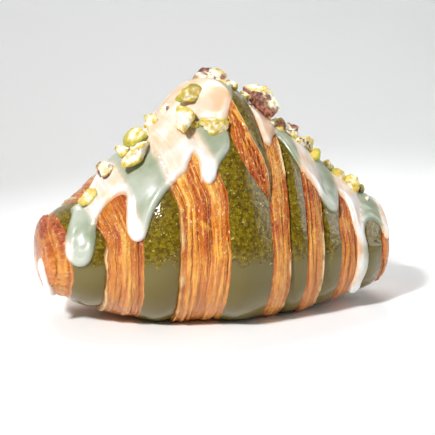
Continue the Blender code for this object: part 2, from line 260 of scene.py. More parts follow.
@dataclass(frozen=True)
class Line:
    """Edge or crease that runs round the roll.

    Attributes:
        front: Station at the front.
        drift: How far it moves over one turn.
        wander: Size of its small irregular sideways moves.
        seed: Which irregularity.
    """

    front: float
    drift: float
    wander: float = 0.35
    seed: int = 0

    def __call__(self, theta: Array) -> Array:
        """Station of the line at each angle."""
        front, back = math.radians(75), math.radians(-130)
        t = np.clip((front - theta) / (front - back), 0, 1)
        share = 1 - (1 - t) ** 2.2
        under = np.clip((theta + math.pi) / (back + math.pi), 0, 1)
        share = np.where(theta < back, under * under * (3 - 2 * under), share)
        ragged = unevenness(4 * np.cos(theta), 4 * np.sin(theta), self.front, self.seed + 11)
        ragged = ragged + 0.6 * unevenness(13 * np.cos(theta), 13 * np.sin(theta), self.front, self.seed + 12)
        return self.front + self.drift * share + self.wander * ragged


@dataclass(frozen=True)
class Band:
    """Stretch of the pastry's surface between two lines.

    Attributes:
        dough: How its surface was made.
        inner: Line on the side of the middle of the roll.
        outer: Line on the side of the end.
        grooves: Shares of the way across at which its strands of layers part.
        seed: Which irregularity.
        tucked: Whether it comes out from under the next wrap.
        blistered: How bubbly its surface is, from 0 to 1.
    """

    dough: Dough
    inner: Callable[[Array], Array]
    outer: Callable[[Array], Array]
    grooves: tuple[float, ...] = ()
    seed: int = 0
    tucked: bool = True
    blistered: float = 0.4

    def share(self, x: Array, theta: Array) -> Array:
        """How far a station lies from the inner line to the outer one."""
        inner = self.inner(theta)
        return (x - inner) / (self.outer(theta) - inner)

    def station(self, s: Array, theta: Array) -> Array:
        """Station at a share of the way from the inner line to the outer one."""
        inner = self.inner(theta)
        return inner + s * (self.outer(theta) - inner)

    def layering(self, s: Array, theta: Array) -> tuple[Array, Array]:
        """Strands of dough layers with the grooves between them, finer threads and blisters, and a colour
        level with painted shade and highlight.

        Args:
            s: Share across the band.
            theta: Angle.

        Returns:
            Height in millimetres about the band's mean, and how raised each place is from 0 to 1.
        """
        ring_a, ring_b = np.cos(theta), np.sin(theta)
        if self.dough is Dough.END:
            middle = 0.5 * (LEFT_END_MM + RIGHT_END_MM)
            straight = 0.5 * (RIGHT_END_MM - LEFT_END_MM) - ROUNDING_MM
            beyond = np.clip((np.abs(self.station(s, theta) - middle) - straight) / ROUNDING_MM, 0, 1)
            ring_a, ring_b = (part * np.sqrt(1 - beyond ** 2.2) for part in (ring_a, ring_b))
        width = np.abs(self.outer(theta) - self.inner(theta))
        width = np.maximum(width, 11.0) if self.dough is Dough.END else width
        warp = 0.9 * unevenness(1.3 * s, 1.2 * ring_a, 1.2 * ring_b, self.seed + 1)
        warp = warp + 0.2 * unevenness(3.0 * s, 3.0 * ring_a, 3.0 * ring_b, self.seed + 2)
        warp = warp + 0.06 * unevenness(6.0 * s, 12 * ring_a, 12 * ring_b, self.seed + 3)
        across = s * width + warp * np.clip(6 * s * (1 - s), 0, 1)
        near = np.minimum(s, 1 - s) * width
        groove, bright, strand, level_before = (np.zeros(near.shape) for _ in range(4))
        for index, edge in enumerate(self.grooves):
            stray = 0.55 * unevenness(5.1 * index, 2.2 * ring_a, 2.2 * ring_b, self.seed + 12)
            gap = across - edge * width - stray
            strength = 0.42 + 0.9 * unevenness(7.3 * index, 2.0 * ring_a, 2.0 * ring_b, self.seed + 4)
            strength = np.clip(strength, 0.05, 1)
            groove = np.maximum(groove, strength * np.exp(-(gap / 0.32) ** 2))
            # Lighter rims beside each groove: painted highlight.
            bright = np.maximum(bright, strength * np.exp(-((np.abs(gap) - 0.65) / 0.35) ** 2))
            near = np.minimum(near, np.abs(gap) + 1.5 * (1 - strength))
            own = 0.34 * cell_value(np.array([index]), np.zeros(1), np.zeros(1), self.seed + 5)
            own = own + 0.35 * unevenness(3.1 * index, 1.6 * ring_a, 1.6 * ring_b, self.seed + 6)
            strand = strand + (own - level_before) * smooth_step(-0.5, 0.5, gap)
            level_before = own
        crown = 1 - np.exp(-(near / 0.9) ** 2)
        lamination = 0.35 if self.dough is Dough.END else 1.0
        wide = unevenness(across / 1.5, 1.1 * ring_a, 1.1 * ring_b, self.seed + 7)
        fine = unevenness(across / 1.0, 1.5 * ring_a, 1.5 * ring_b, self.seed + 8)
        crest = np.maximum(np.exp(-(wide / 0.17) ** 2), 0.7 * np.exp(-(fine / 0.14) ** 2)) * lamination
        x = self.station(s, theta)
        round_a, round_b = RING_MM * ring_a, RING_MM * ring_b
        bubble = unevenness(x / 1.1, round_a / 1.2, round_b / 1.2, self.seed + 9)
        large_bubble = unevenness(x / 2.6, round_a / 2.8, round_b / 2.8, self.seed + 10)
        bubble = self.blistered * (bubble + 0.8 * large_bubble)
        height = strand * lamination + 0.5 * (crown - 0.5) - 0.5 * groove + 0.26 * crest + 0.24 * bubble
        # The colour level follows the relief: painted shade in the grooves and near the band's edges, painted
        # highlight on the crests, the rims beside the grooves and the blisters, over a tone that differs from
        # strand to strand.
        level = 0.47 + 0.20 * (crown - 0.8) - 0.40 * groove + 0.20 * bright + 0.30 * crest + 0.62 * strand
        level = level + 0.14 * bubble
        return height, np.clip(level, 0, 1)

    def relief(self, s: Array, theta: Array) -> tuple[Array, Array]:
        """Relief across the band.

        Args:
            s: Share across the band.
            theta: Angle.

        Returns:
            Height above the plain form, and how raised each place is from 0 to 1 for the colours.
        """
        s = np.clip(s, 0, 1)
        if self.dough is Dough.SHEET:
            low = -0.6 if self.tucked else 0.9
            plain = low + (0.9 - low) * np.sin(0.5 * math.pi * s ** 0.6) + 0.5 * np.sin(math.pi * s)
            x = self.station(s, theta)
            round_a, round_b = ring(theta)
            plain = plain + 0.12 * unevenness(x / 7, round_a / 9, round_b / 9, self.seed)
            crinkle = 0.035 + 0.1 * max(0.0, self.blistered - 0.4)
            plain = plain + crinkle * unevenness(x / 2.2, round_a / 2.6, round_b / 2.6, self.seed + 7)
            return plain, np.full(np.shape(plain), 0.5)
        height, level = self.layering(s, theta)
        plain = 0.5 + 0.5 * np.sin(math.pi * s) + height
        if self.dough is Dough.CUT:
            lip = smooth_step(0.93, 1.0, s)
            plain = plain * (1 - lip) + 1.3 * lip
        return plain, level


def mesh_object(name: str, bm: bmesh.types.BMesh) -> bpy.types.Object:
    """Makes an object of a finished bmesh.

    Args:
        name: Name of the piece.
        bm: Mesh in metres, which is used up.

    Returns:
        The object, linked to the scene, at the origin.
    """
    mesh = bpy.data.meshes.new(name)
    bm.to_mesh(mesh)
    bm.free()
    obj = bpy.data.objects.new(name, mesh)
    bpy.context.scene.collection.objects.link(obj)
    for polygon in mesh.polygons:
        polygon.use_smooth = True
    return obj


def grid_mesh(across: int, around: int) -> bpy.types.Mesh:
    """Unit grid whose vertices run over 0 to 1 both ways, ready to be laid on the form."""
    bm = bmesh.new()
    bmesh.ops.create_grid(bm, x_segments=across, y_segments=around, size=0.5)
    mesh = bpy.data.meshes.new("grid")
    bm.to_mesh(mesh)
    bm.free()
    return mesh


def read_points(mesh: bpy.types.Mesh) -> Array:
    """Vertices of a mesh as rows of numbers."""
    flat = np.empty(len(mesh.vertices) * 3)
    mesh.vertices.foreach_get("co", flat)
    return flat.reshape(-1, 3)


def numbered_grid(columns: int, rows: int) -> tuple[bpy.types.Mesh, Array, Array]:
    """Makes a unit grid and numbers its vertices.

    Args:
        columns: Faces across it.
        rows: Faces around it.

    Returns:
        The grid, with the column and the row of each of its vertices.
    """
    mesh = grid_mesh(columns, rows)
    grid = read_points(mesh) + 0.5
    return mesh, np.rint(grid[:, 0] * columns).astype(int), np.rint(grid[:, 1] * rows).astype(int)


def store_colour(mesh: bpy.types.Mesh, name: str, channels: Sequence[Array]) -> None:
    """Keeps four numbers for each vertex as a colour attribute."""
    layer = mesh.attributes.new(name, "FLOAT_COLOR", "POINT")
    layer.data.foreach_set("color", np.stack(channels, -1).astype(np.float32).ravel())


def closed_piece(name: str, mesh: bpy.types.Mesh, points: Array) -> bpy.types.Object:
    """Lays a grid on its points, joins its seams and faces it outwards.

    Args:
        name: Name of the piece.
        mesh: The grid, with its attributes.
        points: Place of each vertex, in millimetres.

    Returns:
        The closed piece.
    """
    mesh.vertices.foreach_set("co", (points * MM).ravel())
    bm = bmesh.new()
    bm.from_mesh(mesh)
    bpy.data.meshes.remove(mesh)
    bmesh.ops.remove_doubles(bm, verts=bm.verts[:], dist=2e-7)
    bmesh.ops.dissolve_degenerate(bm, edges=bm.edges[:], dist=1e-7)
    bmesh.ops.recalc_face_normals(bm, faces=bm.faces[:])
    return mesh_object(name, bm)


@dataclass
class Pastry:
    """The rolled dough: where its wraps lie and what shows at each place.

    Attributes:
        roll: The plain form.
        column_mm: Spacing of the mesh across the wraps.
        row_mm: Spacing of the mesh around the roll.
        left: Lines between the bands from the middle to the left end.
        right: Lines between the bands from the middle to the right end.
        tongue_edge: Station of the tongue's upper left edge at angles in degrees.
        tongue_height: How high the tongue stands at those angles.
        tongue_base: Station of the foot of its cut side.
        strip_inset: How far its green strip ends short of the line on its right.
    """

    roll: Roll
    column_mm: float = 0.36
    row_mm: float = 0.46
    left: tuple[Line, ...] = (Line(-6.0, -22.0, seed=1), Line(-24.0, -14.0, seed=2),
                              Line(-38.0, -10.0, seed=3), Line(-51.0, -14.0, seed=4),
                              Line(-64.0, -6.0, seed=5))
    right: tuple[Line, ...] = (Line(11.5, 2.0, seed=6), Line(19.5, 3.0, seed=7), Line(27.5, 4.0, seed=8),
                               Line(35.0, 5.0, seed=9), Line(44.0, 5.0, seed=10), Line(55.0, 4.0, seed=11),
                               Line(66.0, 2.0, seed=12))
    tongue_edge: Stations = ((-180, 0.0), (-140, -8.0), (-110, -14.0), (-25, -14.0), (-8, -9.5), (2, -4.6),
                             (14, -0.5), (28, 2.2), (40, 4.8), (49, 7.4), (58, 11.0), (66, 11.8),
                             (76, 11.0), (100, 4.0), (180, 0.0))
    tongue_height: Stations = ((-180, 0.0), (-150, 0.0), (-120, 0.3), (-90, 0.9), (-70, 2.6), (-45, 5.0),
                               (20, 5.0), (45, 4.2), (62, 2.8), (72, 1.2), (82, 0.0), (180, 0.0))
    tongue_base: Stations = ((-180, -3.0), (-140, -14.0), (-110, -22.0), (-40, -26.0), (-8, -26.0),
                             (0, -25.5), (10, -23.5), (18, -19.6), (27, -15.0), (32.5, -11.4), (35.5, -8.0),
                             (38, -4.4), (41, -2.2), (49, -1.4), (55, -0.4), (62, 1.6), (70, 6.3),
                             (74, 10.0), (79, 11.4), (180, 0.0))
    strip_inset: Stations = ((-180, 0.3), (-20, 1.4), (0, 2.0), (29, 1.5), (43, 0.2), (57, -1.2),
                             (66, -1.2), (72, -0.7), (79, 0.0), (180, 0.2))

    def __post_init__(self) -> None:
        """Lays out the bands from the middle to each end."""
        left, right = self.left, self.right
        roll = self.roll

        def left_end(theta: Array) -> Array:
            """Line along the left end."""
            return np.full(np.shape(theta), roll.left_end)

        def right_end(theta: Array) -> Array:
            """Line along the right end."""
            return np.full(np.shape(theta), roll.right_end)

        self.middle = Band(Dough.SHEET, left[0], right[0], seed=20, tucked=False)
        self.left_bands = [
            Band(Dough.CUT, left[0], left[1], (0.07, 0.20, 0.40, 0.64, 0.74, 0.86, 0.94), 31),
            Band(Dough.SHEET, left[1], left[2], seed=32),
            Band(Dough.CUT, left[2], left[3], (0.12, 0.30, 0.48, 0.62, 0.78, 0.90), 33),
            Band(Dough.SHEET, left[3], left[4], seed=34),
            Band(Dough.END, left[4], left_end, (0.12, 0.50), 35, blistered=1.4)]
        self.right_bands = [
            Band(Dough.CUT, right[0], right[1], (0.22, 0.66), 41, blistered=1.0),
            Band(Dough.SHEET, right[1], right[2], seed=42, blistered=0.8),
            Band(Dough.CUT, right[2], right[3], (0.14, 0.36, 0.58, 0.82), 43),
            Band(Dough.SHEET, right[3], right[4], seed=44, blistered=0.9),
            Band(Dough.CUT, right[4], right[5], (0.12, 0.34, 0.52, 0.70, 0.88), 45),
            Band(Dough.SHEET, right[5], right[6], seed=46, blistered=1.2),
            Band(Dough.END, right[6], right_end, (0.12, 0.34, 0.55, 0.8), 47, blistered=0.8)]

    def tongue_lip(self, theta: Array) -> Array:
        """Upper left edge of the tongue."""
        lip = through(self.tongue_edge, np.degrees(theta))
        ragged = 0.25 * unevenness(9 * np.cos(theta), 9 * np.sin(theta), 0.5, 61)
        return np.minimum(lip + ragged, self.strip_end(theta) - 0.5)

    def tongue_foot(self, theta: Array) -> Array:
        """Where the tongue's cut side meets the wrap below."""
        ragged = 0.2 * unevenness(11 * np.cos(theta), 11 * np.sin(theta), 0.5, 62)
        return np.minimum(through(self.tongue_base, np.degrees(theta)) + ragged, self.tongue_lip(theta) - 0.4)

    def strip_end(self, theta: Array) -> Array:
        """Right edge of the tongue's green strip."""
        return self.right[0](theta) - through(self.strip_inset, np.degrees(theta))

    def tongue_lift(self, theta: Array) -> Array:
        """How high the tongue stands over the wrap below."""
        return through(self.tongue_height, np.degrees(theta))

    def surface(self, x: Array, theta: Array) -> tuple[Array, Array, Array]:
        """What lies on top at each place.

        Args:
            x: Stations.
            theta: Angles.

        Returns:
            Relief, layer height from 0 to 1, and 1 where cut layers show.
        """
        relief, level = self.middle.relief(self.middle.share(x, theta), theta)
        cut = np.zeros(relief.shape)
        for bands in (self.left_bands, self.right_bands):
            for band in bands:
                s = band.share(x, theta)
                here = (s >= 0) & (s <= 1)
                own, own_level = band.relief(s, theta)
                relief = np.where(here, own, relief)
                level = np.where(here, own_level, level)
                cut = np.where(here, 0.0 if band.dough is Dough.SHEET else 1.0, cut)
        lip, foot, end = self.tongue_lip(theta), self.tongue_foot(theta), self.strip_end(theta)
        lift = self.tongue_lift(theta)
        up = np.clip((x - foot) / (lip - foot), 0, 1)
        on = (x > foot) & (x < end) & (lift > 0.05)
        lean = 1 - 0.6 * np.clip((x - lip) / (end - lip), 0, 1)
        relief = np.where(on, np.maximum(relief - 0.5, 0.5 + (0.4 + lift * lean) * up ** 0.65), relief)
        cut = np.where(on, np.where(x < lip, 1.0, 0.0), cut)
        return relief, level, cut


@dataclass
class Layer:
    """Columns of mesh that share a part in a piece; each array has one row for each column.

    Attributes:
        x: Stations.
        relief: Heights above the plain form.
        core: Share of the way out from the middle line.
        floor: Lowest height of a point.
        look: Layer height, cut mask, browning with some painted shade, and paleness, each from 0 to 1.
    """

    x: Array
    relief: Array
    core: float
    floor: float
    look: tuple[Array, Array, Array, Array]

    def reversed(self) -> Layer:
        """The same columns from last to first."""
        look = tuple(channel[::-1] for channel in self.look)
        return Layer(self.x[::-1], self.relief[::-1], self.core, self.floor, look)


@dataclass
class Wrap:
    """One turn of dough as a closed piece: its sheet, its cut side and the parts that are tucked away.

    Attributes:
        name: Name of the piece.
        pastry: The dough it belongs to.
        sides: Runs of bands from the hidden side outwards, each with 1 if it runs right and -1 if left.
        browning: How dark its cut side is, from 0 to 1: baked browning, partly painted shade on the
            right-hand wraps.
        grain_share: How closely its pattern follows the layers, 1 on a band and less on a blunt end.
        tuck_mm: How far its sheet runs on under the wrap before it.
        tuck_depth_mm: How deep that part goes.
        lip_drop_mm: How far its open edge turns down.
    """

    name: str
    pastry: Pastry
    sides: list[tuple[int, list[Band]]]
    browning: float
    grain_share: float = 1.0
    tuck_mm: float = 4.0
    tuck_depth_mm: float = 3.0
    lip_drop_mm: float = 3.8

    def looks(self, x: Array, theta: Array, level: Array, cut: float, pale: Array,
              painted_shade: float = 0.0) -> tuple[Array, ...]:
        """Attributes of some columns, with the browning varied over the surface and any painted shade added
        to it.
        """
        ring_a, ring_b = ring(theta)
        patchy = 0.5 * unevenness(x / 9, ring_a / 16, ring_b / 16, 71)
        patchy = patchy + 0.3 * unevenness(x / 3, ring_a / 6, ring_b / 6, 72)
        brown = np.clip(self.browning + painted_shade + 0.3 * patchy, 0, 1)
        ones = np.ones(np.shape(x))
        return level * ones, cut * ones, brown * ones, pale * ones

    def shown(self, band: Band, theta: Array, closing: bool) -> Layer:
        """Columns of a band that is seen."""
        probe = np.array([0.0])
        width = abs(float((band.outer(probe) - band.inner(probe))[0]))
        count = max(6, round((width + (14.0 if band.dough is Dough.END else 0.0)) / self.pastry.column_mm))
        s = (np.arange(count + 1) if closing else np.arange(count)) / count
        if band.dough is Dough.END:
            s = np.sin(0.5 * math.pi * s) ** 0.85
        s = s[:, None]
        x = band.station(s, theta)
        relief, level = band.relief(s, theta)
        pale = np.zeros(x.shape)
        if band.dough is Dough.CUT:
            chip = self.chipping(band, theta)
            near = smooth_step(1 - 1.5 / width, 1 - 0.3 / width, s)
            relief = relief + near * (chip - 0.35) * 0.8
            pale = 0.75 * near * smooth_step(0.35, 0.9, chip)
        cut = 0.0 if band.dough is Dough.SHEET else 1.0
        # Cut sides with more blisters get deeper browning, which is painted shade for the right-hand cut side
        # facing away from the light.
        painted_shade = 0.45 * max(0.0, band.blistered - 0.4) if band.dough is Dough.CUT else 0.0
        return Layer(x, relief, 1.0, 0.0, self.looks(x, theta, level, cut, pale, painted_shade))

    def chipping(self, band: Band, theta: Array) -> Array:
        """How far the edge of a cut side stands up at each angle, from 0 where it is chipped away to 1."""
        ring_a, ring_b = np.cos(theta), np.sin(theta)
        coarse = unevenness(5.0, 3 * ring_a, 3 * ring_b, band.seed + 8)
        fine = unevenness(9.0, 12 * ring_a, 12 * ring_b, band.seed + 9)
        return np.clip(0.4 + 0.6 * coarse + 0.3 * fine, 0, 1)

    def lip(self, band: Band, toward: int, theta: Array) -> list[Layer]:
        """Open edge of a cut side, turned under, and the hidden wall behind it."""
        s = np.array([0.2, 0.5, 0.8, 1.0])[:, None]
        chip = self.chipping(band, theta)
        edge = band.outer(theta)
        top = 1.3 + (chip - 0.35) * 0.8
        x = edge + toward * (0.1 + 0.5 * chip) * np.sin(math.pi * 0.5 * s)
        relief = top - self.lip_drop_mm * s ** 2.0
        look = self.looks(x, theta, 0.35 * np.ones(x.shape), 1.0, 0.6 * (1 - s) * chip)
        wall_x = edge * np.ones((1, 1))
        wall = Layer(wall_x, -2.5 + 0 * wall_x, 0.6, 0.3, self.looks(wall_x, theta, 0.2, 1.0, 0.0))
        return [Layer(x, relief, 1.0, 0.0, look), wall, self.pole(float(np.mean(edge)), theta, 1.0)]

    def pole(self, station: float, theta: Array, cut: float) -> Layer:
        """Single point on the middle line that closes a piece."""
        x = np.full((1, theta.shape[1]), station)
        return Layer(x, np.zeros(x.shape), 0.0, 0.0, self.looks(x, theta, 0.4, cut, 0.0))

    def tucked(self, band: Band, toward: int, theta: Array) -> list[Layer]:
        """Part of a sheet that runs on under the wrap before it."""
        s = np.array([1.0, 0.6, 0.3, 0.1])[:, None]
        edge = band.inner(theta)
        x = edge - toward * self.tuck_mm * s
        relief = -0.6 - (self.tuck_depth_mm - 0.6) * s
        wall_x = edge - toward * self.tuck_mm
        wall = Layer(wall_x, -3.0 + 0 * wall_x, 0.6, 0.3, self.looks(wall_x, theta, 0.2, 0.0, 0.0))
        hidden = Layer(x, relief + 0 * x, 1.0, 0.3, self.looks(x, theta, 0.5, 0.0, 0.0))
        return [self.pole(float(np.mean(wall_x)), theta, 0.0), wall, hidden]

    def layers(self, theta: Array) -> list[Layer]:
        """All columns of the piece from one pole to the other."""
        halves = []
        for toward, bands in self.sides:
            runs_under = bands[0].tucked and bands[0].dough is Dough.SHEET
            run = self.tucked(bands[0], toward, theta) if runs_under else []
            for band in bands:
                run.append(self.shown(band, theta, band is bands[-1] and band.dough is Dough.CUT))
            if bands[-1].dough is Dough.CUT:
                run += self.lip(bands[-1], toward, theta)
            else:
                end = self.pastry.roll.left_end if toward < 0 else self.pastry.roll.right_end
                run.append(self.pole(end, theta, 1.0))
            halves.append(run)
        if len(halves) == 1:
            return halves[0]
        return [layer.reversed() for layer in reversed(halves[0])] + halves[1]

    def build(self) -> bpy.types.Object:
        """Builds the piece with the attributes its materials read.

        Returns:
            The closed piece.
        """
        roll = self.pastry.roll
        rows = round(2 * math.pi * roll.middle_half_depth / self.pastry.row_mm)
        theta = np.linspace(-math.pi, math.pi, rows + 1)[None, :]
        layers = self.layers(theta)
        x = np.concatenate([layer.x * np.ones(theta.shape) for layer in layers])
        relief = np.concatenate([layer.relief * np.ones(theta.shape) for layer in layers])
        core = np.concatenate([np.full(len(layer.x), layer.core) for layer in layers])[:, None]
        floor = np.concatenate([np.full(len(layer.x), layer.floor) for layer in layers])[:, None]
        look = [np.concatenate([layer.look[i] * np.ones(theta.shape) for layer in layers]) for i in range(4)]
        points = roll.point(x, theta * np.ones(x.shape), relief, core, floor)
        points[:, -1] = points[:, 0]
        mesh, column, row = numbered_grid(x.shape[0] - 1, rows)
        store_colour(mesh, "crust", [channel[column, row] for channel in look])
        steps = np.linalg.norm(np.diff(points, axis=0), axis=2).mean(1)
        across = np.concatenate([[0.0], np.cumsum(steps)])
        store_grain(mesh, self.grain_share * across[column], points[column, row])
        obj = closed_piece(self.name, mesh, points[column, row])
        finish_by_cut(obj)
        return obj


def store_grain(mesh: bpy.types.Mesh, across: Array, points: Array) -> None:
    """Keeps millimetres for patterns along the layers: one number across them and two around the roll."""
    layer = mesh.attributes.new("grain", "FLOAT_VECTOR", "POINT")
    vectors = np.stack([across, points[:, 1], points[:, 2]], -1)
    layer.data.foreach_set("vector", vectors.astype(np.float32).ravel())


def finish_by_cut(obj: bpy.types.Object) -> None:
    """Gives each face the green or the golden finish by the cut mask of its corners."""
    mesh = obj.data
    look = np.empty(len(mesh.vertices) * 4, np.float32)
    mesh.attributes["crust"].data.foreach_get("color", look)
    cut = look.reshape(-1, 4)[:, 1]
    corners = np.empty(len(mesh.loops), np.int64)
    mesh.loops.foreach_get("vertex_index", corners)
    starts = np.empty(len(mesh.polygons), np.int64)
    mesh.polygons.foreach_get("loop_start", starts)
    totals = np.empty(len(mesh.polygons), np.int64)
    mesh.polygons.foreach_get("loop_total", totals)
    share = np.add.reduceat(cut[corners], starts) / totals
    index = np.where(share > 0.3, Finish.GOLDEN.value, Finish.GREEN.value).astype(np.int32)
    mesh.polygons.foreach_set("material_index", index)


@dataclass
class Tongue:
    """Narrow end of the dough triangle that lies over the middle of the roll.

    Attributes:
        pastry: The dough it belongs to.
        browning: How dark its cut side is baked.
        back_end: Angle in degrees at which it starts on the far side.
        front_end: Angle at which its tip ends.
        seed: Which irregularity.
    """

    pastry: Pastry
    browning: float = 0.45
    back_end: float = -150.0
    front_end: float = 79.0
    seed: int = 51

    def build(self) -> bpy.types.Object:
        """Builds the tongue as a closed strip laid over the wrap below.

        Returns:
            The closed piece.
        """
        roll, pastry = self.pastry.roll, self.pastry
        span = math.radians(self.front_end - self.back_end)
        rows = round(span * roll.middle_half_depth / pastry.row_mm)
        theta = np.linspace(math.radians(self.back_end), math.radians(self.front_end), rows + 1)[None, :]
        lip, foot, end = pastry.tongue_lip(theta), pastry.tongue_foot(theta), pastry.strip_end(theta)
        lift = pastry.tongue_lift(theta)
        side, face = np.linspace(0, 1, 49)[:, None], np.linspace(0, 1, 40)[1:, None]
        drop, under = np.array([0.25, 0.5, 0.75, 1.0])[:, None], np.linspace(0, 1, 8)[1:, None]
        cut_band = Band(Dough.CUT, pastry.tongue_foot, pastry.tongue_lip, (0.16, 0.40, 0.62, 0.82), self.seed,
                        blistered=0.7)
        height, level = cut_band.layering(side, theta)
        lean = 1 - 0.6 * face
        side_relief = 0.4 + (0.5 + lift) * side ** 0.65 + 0.75 * height * np.sin(math.pi * side) ** 0.5
        bumps = 0.05 * unevenness(lip / 2.5 + face * 5, 12 * np.cos(theta), 12 * np.sin(theta), self.seed)
        crown = np.minimum(1.0, (end - lip) / 6) * 0.4 * np.sin(math.pi * face)
        edge_roll = 0.9 * np.exp(-face * (end - lip) / 0.35)
        face_relief = 0.9 + lift * lean + crown + bumps * np.sin(math.pi * face) - 0.25 * edge_roll
        drop_relief = 0.9 + 0.4 * lift - (2.2 + 0.4 * lift) * drop ** 1.6
        low = -1.3 * np.ones(theta.shape)
        x = np.concatenate([foot + (lip - foot) * side, lip + (end - lip) * face,
                            end + 0.45 * np.sin(0.5 * math.pi * drop) + 0 * end,
                            end + 0.45 + (foot - end - 0.45) * under])
        relief = np.concatenate([side_relief, face_relief, drop_relief, low + 0 * under])
        relief[-1] = relief[0]
        ends = np.minimum(theta - theta[0, 0], theta[0, -1] - theta) / math.radians(6)
        relief = -1.3 + (relief + 1.3) * np.sin(0.5 * math.pi * np.clip(ends, 0, 1)) ** 0.7
        points = roll.point(x, theta * np.ones(x.shape), relief)
        points[:, 0] = points[:, 0].mean(0)
        points[:, -1] = points[:, -1].mean(0)
        cut = np.concatenate([np.ones(side.shape), np.zeros(face.shape), np.zeros(drop.shape),
                              np.ones(under.shape)]) * np.ones(theta.shape)
        heights = np.concatenate([level, 0.5 + 0 * face * theta, 0.5 + 0 * drop * theta,
                                  0.3 + 0 * under * theta])
        pale = np.concatenate([0.6 * smooth_step(0.95, 1.0, side) * np.ones(theta.shape), 0 * face * theta,
                               0.5 * (1 - drop) * np.ones(theta.shape), 0 * under * theta])
        mesh, column, row = numbered_grid(x.shape[0] - 1, rows)
        brown = self.browning + 0.5 * smooth_step(math.radians(40), math.radians(74), theta) + 0 * x
        store_colour(mesh, "crust", [channel[column, row] for channel in (heights, cut, brown, pale)])
        store_grain(mesh, x[column, row], points[column, row])
        obj = closed_piece("tongue", mesh, points[column, row])
        finish_by_cut(obj)
        return obj


